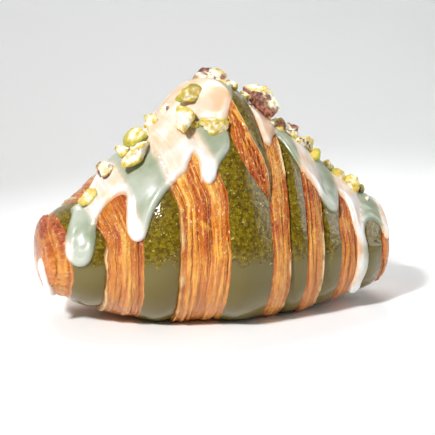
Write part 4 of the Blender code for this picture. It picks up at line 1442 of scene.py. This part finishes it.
@dataclass(frozen=True)
class GoldenDough:
    """Cut side of laminated dough, baked and egg-washed: glossy orange strands with grooves painted deep
    brown as shade.
    """

    name: str = "Baked laminated dough"
    # Colours from low places to raised ones: the deep brown end is painted shade in the grooves, the pale end
    # painted highlight on the crests.
    steps: tuple[tuple[float, str], ...] = ((0.0, "8A3204"), (0.2, "A24205"), (0.4, "B85408"),
                                            (0.58, "CA6C10"), (0.8, "E09832"), (1.0, "F3C466"))
    line: str = "F3C058"
    seam: str = "A8480A"
    deep: str = "C06424"
    spot: str = "AE4C0C"
    pale: str = "F3DCA0"
    # Paler tan mixed in low down: a painted reflection of the bright floor.
    under: str = "DA9550"
    honey: str = "EFB040"
    # Pale specks on the upper strands: painted glints.
    flake_and_glint: str = "FCE6BC"
    thread_mm: float = 0.7
    blister_mm: float = 1.1

    def lines(self, tree: bpy.types.NodeTree, grain: bpy.types.NodeSocket, under: bpy.types.NodeSocket,
              spacing: float, colour: str, amount: float) -> bpy.types.NodeSocket:
        """Draws fine wandering lines along the strands.

        Args:
            tree: Node tree of the material.
            grain: Place along and across the strands.
            under: Colour they are drawn on.
            spacing: Millimetres between them.
            colour: Their hex colour.
            amount: How far they cover what is below.

        Returns:
            The colour with the lines.
        """
        place = add_node(tree, "ShaderNodeMapping",
                         {"Scale": (1 / spacing, 0.032, 0.032), "Location": (17 * spacing, 0.0, 0.0)},
                         {"Vector": grain})
        noise = add_node(tree, "ShaderNodeTexNoise", {"Scale": 1.0, "Detail": 1.2},
                         {"Vector": place.outputs[0]})
        centred = add_node(tree, "ShaderNodeMath", {"operation": "SUBTRACT", 1: 0.5},
                           {0: noise.outputs["Fac"]})
        distance = add_node(tree, "ShaderNodeMath", {"operation": "ABSOLUTE"}, {0: centred.outputs[0]})
        drawn = add_node(tree, "ShaderNodeMapRange",
                         SMOOTH | {"From Min": 0.008, "From Max": 0.05, "To Min": amount, "To Max": 0.0},
                         {"Value": distance.outputs[0]})
        lined = add_node(tree, "ShaderNodeMix", COLOURS | {7: colour}, {0: drawn.outputs["Result"], 6: under})
        return lined.outputs[2]

    def strands(self, tree: bpy.types.NodeTree, where: bpy.types.NodeSocket,
                grain: bpy.types.NodeSocket) -> bpy.types.NodeSocket:
        """Fine threads along the layers with some grit over them, as a number.

        Args:
            tree: Node tree of the material.
            where: Place on the piece.
            grain: Place along and across the strands.

        Returns:
            How raised the threads are.
        """
        stretch = add_node(tree, "ShaderNodeMapping", {"Scale": (1 / self.thread_mm, 0.045, 0.045)},
                           {"Vector": grain})
        threads = add_node(tree, "ShaderNodeTexNoise",
                           {"Scale": 1.0, "Detail": 3.0, "Roughness": 0.5, "Distortion": 0.1},
                           {"Vector": stretch.outputs[0]})
        grit = add_node(tree, "ShaderNodeTexNoise", {"Scale": 800.0, "Detail": 3.0}, {"Vector": where})
        both = add_node(tree, "ShaderNodeMath", {"operation": "MULTIPLY_ADD", 1: 0.4},
                        {0: grit.outputs["Fac"], 2: threads.outputs["Fac"]})
        return both.outputs[0]

    def baked(self, tree: bpy.types.NodeTree, where: bpy.types.NodeSocket, height: bpy.types.NodeSocket,
              lined: bpy.types.NodeSocket, browning: bpy.types.NodeSocket) -> bpy.types.NodeSocket:
        """Varies the strands' colour: honey and brown patches and the wraps' browning, as an oven bakes them,
        with some painted shade in the browning of the right-hand wraps, and a paler tone low down that is a
        painted reflection of the floor.

        Args:
            tree: Node tree of the material.
            where: Place on the piece.
            height: Height above the table in metres.
            lined: Colour of the strands.
            browning: How dark the wrap is, from baking and partly from painted shade.

        Returns:
            The colour.
        """
        patches = add_node(tree, "ShaderNodeTexNoise", {"Scale": 130.0, "Detail": 4.0, "Roughness": 0.6},
                           {"Vector": where}).outputs["Fac"]
        light = add_node(tree, "ShaderNodeMapRange",
                         SMOOTH | {"From Min": 0.46, "From Max": 0.30, "To Max": 0.6}, {"Value": patches})
        honeyed = add_node(tree, "ShaderNodeMix", COLOURS | {7: self.honey},
                           {0: light.outputs["Result"], 6: lined})
        dark = add_node(tree, "ShaderNodeMapRange",
                        SMOOTH | {"From Min": 0.52, "From Max": 0.68, "To Max": 0.6}, {"Value": patches})
        spotted = add_node(tree, "ShaderNodeMix", COLOURS | {7: self.spot},
                           {0: dark.outputs["Result"], 6: honeyed.outputs[2]})
        brown = add_node(tree, "ShaderNodeMapRange",
                         SMOOTH | {"From Min": 0.4, "From Max": 1.0, "To Max": 0.75}, {"Value": browning})
        browned = add_node(tree, "ShaderNodeMix", COLOURS | {"blend_type": "MULTIPLY", 7: self.deep},
                           {0: brown.outputs["Result"], 6: spotted.outputs[2]})
        # Paler towards the table: a painted reflection of the bright floor.
        below = add_node(tree, "ShaderNodeMapRange",
                         SMOOTH | {"From Min": 0.012, "From Max": 0.044, "To Min": 0.52, "To Max": 0.0},
                         {"Value": height})
        paler = add_node(tree, "ShaderNodeMix", COLOURS | {7: self.under},
                         {0: below.outputs["Result"], 6: browned.outputs[2]})
        return paler.outputs[2]

    def painted_glints(self, tree: bpy.types.NodeTree, grain: bpy.types.NodeSocket,
               height: bpy.types.NodeSocket) -> bpy.types.NodeSocket:
        """How much painted glint shows at each place: pale specks standing in for glints, few of them, and on
        the upper part alone.

        Args:
            tree: Node tree of the material.
            grain: Place along and across the strands.
            height: Height above the table in metres.

        Returns:
            A number from 0 to 0.8.
        """
        drawn = add_node(tree, "ShaderNodeMapping", {"Scale": (1.5, 0.62, 0.62)}, {"Vector": grain})
        flake_and_glint_noise = add_node(tree, "ShaderNodeTexNoise", {"Scale": 1.0, "Detail": 2.5, "Roughness": 0.75},
                          {"Vector": drawn.outputs[0]})
        few = add_node(tree, "ShaderNodeMapRange", SMOOTH | {"From Min": 0.62, "From Max": 0.68},
                       {"Value": flake_and_glint_noise.outputs["Fac"]})
        upper = add_node(tree, "ShaderNodeMapRange",
                         SMOOTH | {"From Min": 0.018, "From Max": 0.045, "To Max": 0.8}, {"Value": height})
        both = add_node(tree, "ShaderNodeMath", {"operation": "MULTIPLY"},
                        {0: few.outputs["Result"], 1: upper.outputs["Result"]})
        return both.outputs[0]

    def make(self) -> bpy.types.Material:
        """Makes the material."""
        material, tree, shader = new_material(self.name)
        where = add_node(tree, "ShaderNodeTexCoord").outputs["Object"]
        grain = add_node(tree, "ShaderNodeAttribute", {"attribute_name": "grain"}).outputs["Vector"]
        look = add_node(tree, "ShaderNodeAttribute", {"attribute_name": "crust"})
        parts = add_node(tree, "ShaderNodeSeparateColor", links={"Color": look.outputs["Color"]})
        height = add_node(tree, "ShaderNodeSeparateXYZ", links={"Vector": where}).outputs["Z"]
        strands = self.strands(tree, where, grain)
        centred = add_node(tree, "ShaderNodeMath", {"operation": "SUBTRACT", 1: 0.7}, {0: strands})
        level = add_node(tree, "ShaderNodeMath", {"operation": "MULTIPLY_ADD", 1: 0.34},
                         {0: centred.outputs[0], 2: parts.outputs["Red"]})
        # Ramp from the level: deep brown in the grooves is painted shade, pale on the crests is painted
        # highlight.
        base = add_node(tree, "ShaderNodeValToRGB", links={"Fac": level.outputs[0]})
        set_steps(base.color_ramp, self.steps)
        lined = self.lines(tree, grain, base.outputs["Color"], 1.3, self.line, 0.75)
        lined = self.lines(tree, grain, lined, 1.1, self.seam, 0.14)
        baked = self.baked(tree, where, height, lined, parts.outputs["Blue"])
        # Pale specks on the upper strands are painted glints.
        glinted = add_node(tree, "ShaderNodeMix", COLOURS | {7: self.flake_and_glint},
                           {0: self.painted_glints(tree, grain, height), 6: baked})
        edged = add_node(tree, "ShaderNodeMix", COLOURS | {7: self.pale},
                         {0: look.outputs["Alpha"], 6: glinted.outputs[2]})
        tree.links.new(edged.outputs[2], shader.inputs["Base Color"])
        blister = add_node(tree, "ShaderNodeTexVoronoi",
                           {"feature": "SMOOTH_F1", "Scale": 1000 / self.blister_mm, "Smoothness": 0.5},
                           {"Vector": where})
        dome = add_node(tree, "ShaderNodeMapRange", SMOOTH | {"From Max": 0.7, "To Min": 1.0, "To Max": 0.0},
                        {"Value": blister.outputs["Distance"]})
        relief = add_node(tree, "ShaderNodeMath", {"operation": "MULTIPLY_ADD", 1: 2.4},
                          {0: strands, 2: dome.outputs["Result"]})
        strength = add_node(tree, "ShaderNodeMapRange",
                            SMOOTH | {"From Min": 0.015, "From Max": 0.040, "To Min": 0.35},
                            {"Value": height})
        bump = add_node(tree, "ShaderNodeBump", {"Distance": 0.0004},
                        {"Height": relief.outputs[0], "Strength": strength.outputs["Result"]})
        tree.links.new(bump.outputs["Normal"], shader.inputs["Normal"])
        tree.links.new(bump.outputs["Normal"], shader.inputs["Coat Normal"])
        shader.inputs["Roughness"].default_value = 0.45
        shader.inputs["IOR"].default_value = 1.45
        shader.inputs["Coat Weight"].default_value = 1.0
        shader.inputs["Coat Roughness"].default_value = 0.09
        shader.inputs["Coat IOR"].default_value = 1.4
        shader.inputs["Specular IOR Level"].default_value = 0.15
        shader.inputs["Subsurface Weight"].default_value = 0.1
        shader.inputs["Subsurface Radius"].default_value = (0.0012, 0.0005, 0.0002)
        shader.inputs["Subsurface Scale"].default_value = 1.0
        return material


@dataclass(frozen=True)
class SugarIcing:
    """Poured sugar icing: glossy, white where it is thick, and tinted by the dough where it is thin."""

    name: str = "Poured sugar icing"
    white: str = "F7F6F1"
    over_golden: str = "EDBD96"
    over_green: str = "8F9979"
    bubble: str = "84867A"

    def make(self) -> bpy.types.Material:
        """Makes the material."""
        material, tree, shader = new_material(self.name)
        where = add_node(tree, "ShaderNodeTexCoord").outputs["Object"]
        look = add_node(tree, "ShaderNodeAttribute", {"attribute_name": "glaze"})
        parts = add_node(tree, "ShaderNodeSeparateColor", links={"Color": look.outputs["Color"]})
        thin = add_node(tree, "ShaderNodeMix", COLOURS | {6: self.over_green, 7: self.over_golden},
                        {0: parts.outputs["Green"]})
        clouds = add_node(tree, "ShaderNodeTexNoise", {"Scale": 150.0, "Detail": 3.0}, {"Vector": where})
        centred = add_node(tree, "ShaderNodeMath", {"operation": "SUBTRACT", 1: 0.5},
                           {0: clouds.outputs["Fac"]})
        amount = add_node(tree, "ShaderNodeMath", {"operation": "MULTIPLY_ADD", 1: 0.5},
                          {0: centred.outputs[0], 2: parts.outputs["Red"]})
        thick = add_node(tree, "ShaderNodeMapRange", SMOOTH | {"From Min": 0.06, "From Max": 0.62},
                         {"Value": amount.outputs[0]})
        hiding = add_node(tree, "ShaderNodeMapRange", SMOOTH | {"To Min": 0.35},
                          {"Value": parts.outputs["Green"]})
        hidden = add_node(tree, "ShaderNodeMath", {"operation": "MULTIPLY"},
                          {0: thick.outputs["Result"], 1: hiding.outputs["Result"]})
        body = add_node(tree, "ShaderNodeMix", COLOURS | {7: self.white},
                        {0: hidden.outputs[0], 6: thin.outputs[2]})
        pores = add_node(tree, "ShaderNodeTexVoronoi", {"Scale": 1100.0}, {"Vector": where})
        dots = add_node(tree, "ShaderNodeMapRange",
                        SMOOTH | {"From Min": 0.22, "From Max": 0.08, "To Max": 0.35},
                        {"Value": pores.outputs["Distance"]})
        pored = add_node(tree, "ShaderNodeMix", COLOURS | {7: self.bubble},
                         {0: dots.outputs["Result"], 6: body.outputs[2]})
        tree.links.new(pored.outputs[2], shader.inputs["Base Color"])
        ripple = add_node(tree, "ShaderNodeTexNoise", {"Scale": 260.0, "Detail": 2.0}, {"Vector": where})
        bump = add_node(tree, "ShaderNodeBump", {"Strength": 0.2, "Distance": 0.0004},
                        {"Height": ripple.outputs["Fac"]})
        tree.links.new(bump.outputs["Normal"], shader.inputs["Normal"])
        shader.inputs["Roughness"].default_value = 0.28
        shader.inputs["IOR"].default_value = 1.47
        shader.inputs["Coat Weight"].default_value = 0.5
        shader.inputs["Coat Roughness"].default_value = 0.06
        shader.inputs["Subsurface Weight"].default_value = 0.4
        shader.inputs["Subsurface Radius"].default_value = (0.0022, 0.0018, 0.0012)
        shader.inputs["Subsurface Scale"].default_value = 1.0
        return material


@dataclass(frozen=True)
class PistachioFlesh:
    """Chopped pistachio: waxy cream to yellow-green flesh, with papery purple-brown skin on its outside."""

    name: str = "Chopped pistachio kernel"
    skin: str = "5A2C22"
    skin_light: str = "A9735A"
    cream: str = "F6F2DC"
    yellow: str = "DFBE54"
    green: str = "A9A63C"

    def make(self) -> bpy.types.Material:
        """Makes the material."""
        material, tree, shader = new_material(self.name)
        where = add_node(tree, "ShaderNodeTexCoord").outputs["Object"]
        look = add_node(tree, "ShaderNodeAttribute", {"attribute_name": "nut"})
        parts = add_node(tree, "ShaderNodeSeparateColor", links={"Color": look.outputs["Color"]})
        cloud = add_node(tree, "ShaderNodeTexNoise", {"Scale": 520.0, "Detail": 4.0, "Roughness": 0.65},
                         {"Vector": where})
        centred = add_node(tree, "ShaderNodeMath", {"operation": "SUBTRACT", 1: 0.5},
                           {0: cloud.outputs["Fac"]})
        tone = add_node(tree, "ShaderNodeMath", {"operation": "MULTIPLY_ADD", 1: 1.3},
                        {0: centred.outputs[0], 2: parts.outputs["Blue"]})
        flesh = add_node(tree, "ShaderNodeValToRGB", links={"Fac": tone.outputs[0]})
        set_steps(flesh.color_ramp, ((0.10, self.cream), (0.50, self.yellow), (0.95, self.green)))
        papery = add_node(tree, "ShaderNodeMapRange", SMOOTH | {"From Min": 0.42, "From Max": 0.62},
                          {"Value": cloud.outputs["Fac"]})
        peel = add_node(tree, "ShaderNodeMix", COLOURS | {6: self.skin, 7: self.skin_light},
                        {0: papery.outputs["Result"]})
        both = add_node(tree, "ShaderNodeMix", COLOURS,
                        {0: parts.outputs["Red"], 6: flesh.outputs["Color"], 7: peel.outputs[2]})
        tree.links.new(both.outputs[2], shader.inputs["Base Color"])
        rough = add_node(tree, "ShaderNodeTexNoise", {"Scale": 1500.0, "Detail": 3.0}, {"Vector": where})
        bump = add_node(tree, "ShaderNodeBump", {"Strength": 0.5, "Distance": 0.0003},
                        {"Height": rough.outputs["Fac"]})
        tree.links.new(bump.outputs["Normal"], shader.inputs["Normal"])
        shader.inputs["Roughness"].default_value = 0.45
        shader.inputs["IOR"].default_value = 1.47
        shader.inputs["Subsurface Weight"].default_value = 0.15
        shader.inputs["Subsurface Radius"].default_value = (0.0012, 0.001, 0.0004)
        shader.inputs["Subsurface Scale"].default_value = 1.0
        return material


@dataclass
class Studio:
    """Floor, backdrop, lights and camera.

    Attributes:
        azimuth: Camera's angle round the object, in degrees.
        elevation: Camera's angle above the horizon.
        distance: Metres from the camera to its target.
        target: What the camera looks at.
        focal_pixels: Focal length in pixels of the photograph's frame.
        frame_pixels: Width of that frame.
        sensor_mm: Width of the camera's sensor.
    """

    azimuth: float = -15.0
    elevation: float = 12.0
    distance: float = 0.485
    target: tuple[float, float, float] = (0.0014, 0.0, 0.0376)
    focal_pixels: float = 1174.0
    frame_pixels: int = 435
    sensor_mm: float = 36.0

    def floor(self) -> None:
        """Pale floor that curves up into a pale backdrop."""
        bm = bmesh.new()
        low = bm.verts.new((-1.6, -1.2, -0.0002))
        high = bm.verts.new((1.6, -1.2, -0.0002))
        edge = bm.edges.new((low, high))
        geometry = [edge]
        profile = [(0.0, 1.55)]
        turns = [(math.radians(11.25 * i), math.radians(11.25 * (i + 1))) for i in range(8)]
        profile += [(0.3 * (math.cos(a) - math.cos(b)), 0.3 * (math.sin(b) - math.sin(a))) for a, b in turns]
        profile += [(1.2, 0.0)]
        for rise, run in profile:
            result = bmesh.ops.extrude_edge_only(bm, edges=geometry)["geom"]
            moved = [item for item in result if isinstance(item, bmesh.types.BMVert)]
            bmesh.ops.translate(bm, vec=Vector((0, run, rise)), verts=moved)
            geometry = [item for item in result if isinstance(item, bmesh.types.BMEdge)]
        bmesh.ops.recalc_face_normals(bm, faces=bm.faces[:])
        sweep = mesh_object("floor", bm)
        material, _, shader = new_material("Matt white board")
        shader.inputs["Base Color"].default_value = hex_colour("FAFAF8")
        shader.inputs["Roughness"].default_value = 0.7
        sweep.data.materials.append(material)

    def lamp(self, name: str, kind: str, place: tuple[float, float, float], aim: tuple[float, float, float],
             size: float, power: float, colour: str, cone: float = 60.0) -> None:
        """Adds a soft light.

        Args:
            name: Its name.
            kind: AREA or SPOT.
            place: Where it stands, in metres.
            aim: What it points at.
            size: Length of its side, or its radius, in metres.
            power: Watts.
            colour: Hex colour.
            cone: Angle of its beam in degrees, for a spot.
        """
        data = bpy.data.lights.new(name, kind)
        if kind == "SPOT":
            data.shadow_soft_size = size
            data.spot_size = math.radians(cone)
            data.spot_blend = 0.25
        else:
            data.size = size
        data.energy = power
        data.color = hex_colour(colour)[:3]
        lamp = bpy.data.objects.new(name, data)
        lamp.location = place
        lamp.rotation_euler = (Vector(place) - Vector(aim)).to_track_quat("Z", "Y").to_euler()
        bpy.context.scene.collection.objects.link(lamp)

    def lights(self) -> None:
        """Key light from the upper left, a weaker one from the right, one on the backdrop, even surround."""
        self.lamp("key", "SPOT", (-0.66, -0.62, 0.80), (0.0, 0.02, 0.0), 0.08, 66.0, "FBFCFF", 18.5)
        self.lamp("right", "AREA", (0.75, -0.14, 0.34), (0.0, 0.0, 0.04), 0.6, 2.8, "F4F8FF")
        self.lamp("behind", "AREA", (0.0, 0.70, 0.90), (0.0, 0.42, 0.0), 0.7, 11.5, "FFFFFF")
        world = bpy.data.worlds.new("surround")
        world.use_nodes = True
        background = world.node_tree.nodes["Background"]
        background.inputs["Color"].default_value = hex_colour("DCDEDE")
        background.inputs["Strength"].default_value = 0.13
        bpy.context.scene.world = world

    def camera(self) -> None:
        """Camera at the photograph's angle."""
        data = bpy.data.cameras.new("camera")
        data.sensor_width = self.sensor_mm
        data.lens = self.focal_pixels / self.frame_pixels * self.sensor_mm
        data.clip_start = 0.01
        camera = bpy.data.objects.new("camera", data)
        a, e = math.radians(self.azimuth), math.radians(self.elevation)
        back = Vector((math.sin(a) * math.cos(e), -math.cos(a) * math.cos(e), math.sin(e)))
        camera.location = Vector(self.target) + back * self.distance
        camera.rotation_euler = back.to_track_quat("Z", "Y").to_euler()
        bpy.context.scene.collection.objects.link(camera)
        bpy.context.scene.camera = camera

    def build(self) -> None:
        """Sets the studio up."""
        self.floor()
        self.lights()
        self.camera()
        bpy.context.scene.view_settings.view_transform = "Standard"


def dress(obj: bpy.types.Object, materials: Sequence[bpy.types.Material], node: str) -> None:
    """Finishes a piece: its materials, the CAD node it stands for and its body.

    Args:
        obj: The piece.
        materials: Its materials in slot order.
        node: CAD node it replaces.
    """
    for material in materials:
        obj.data.materials.append(material)
    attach(obj, "root")
    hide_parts(node)
    triangles = sum(len(polygon.vertices) - 2 for polygon in obj.data.polygons)
    LOG.info("%s: %d triangles", obj.name, triangles)


def main() -> None:
    """Builds the croissant on its frame and lights it."""
    logging.basicConfig(level=logging.INFO, format="%(name)s: %(message)s")
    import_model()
    low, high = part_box("croissant")
    plain = Roll((0.0, 0.0))
    shift = ((low.x + high.x) / 2 / MM - (plain.left_end + plain.right_end) / 2, (low.y + high.y) / 2 / MM)
    pastry = Pastry(Roll(shift))
    dough = [GreenDough().make(), GoldenDough().make()]
    left, right = pastry.left_bands, pastry.right_bands
    # The browning rises towards the ends; the extra on the right-hand wraps is partly painted shade for the
    # side away from the light.
    wraps = [
        Wrap("middle_wrap", pastry, [(-1, [left[0]]), (1, [pastry.middle, right[0]])], 0.30),
        Wrap("left_wrap", pastry, [(-1, left[1:3])], 0.72),
        Wrap("left_tip", pastry, [(-1, left[3:5])], 0.75, grain_share=0.25),
        Wrap("right_wrap", pastry, [(1, right[1:3])], 0.75),
        Wrap("right_outer_wrap", pastry, [(1, right[3:5])], 0.8),
        Wrap("right_tip", pastry, [(1, right[5:7])], 0.9, grain_share=0.25)]
    for wrap in wraps:
        dress(wrap.build(), dough, "croissant")
    dress(Tongue(pastry).build(), dough, "croissant")
    icing = Icing(pastry)
    icing_finish = SugarIcing().make()
    dress(icing.build(), [icing_finish], "icing")
    dress(Rim(pastry).build(), [icing_finish], "icing")
    nuts = Nuts(icing)
    kernel = [PistachioFlesh().make()]
    dress(nuts.gather("nuts", nuts.front, 4, 0.7), kernel, "icing")
    dress(nuts.gather("far_nuts", nuts.far_side(), 4, 0.7), kernel, "icing")
    dress(nuts.gather("nut_crumbs", nuts.crumbs(), 2, 0.25), kernel, "icing")
    Studio().build()


if __name__ == "__main__":
    main()
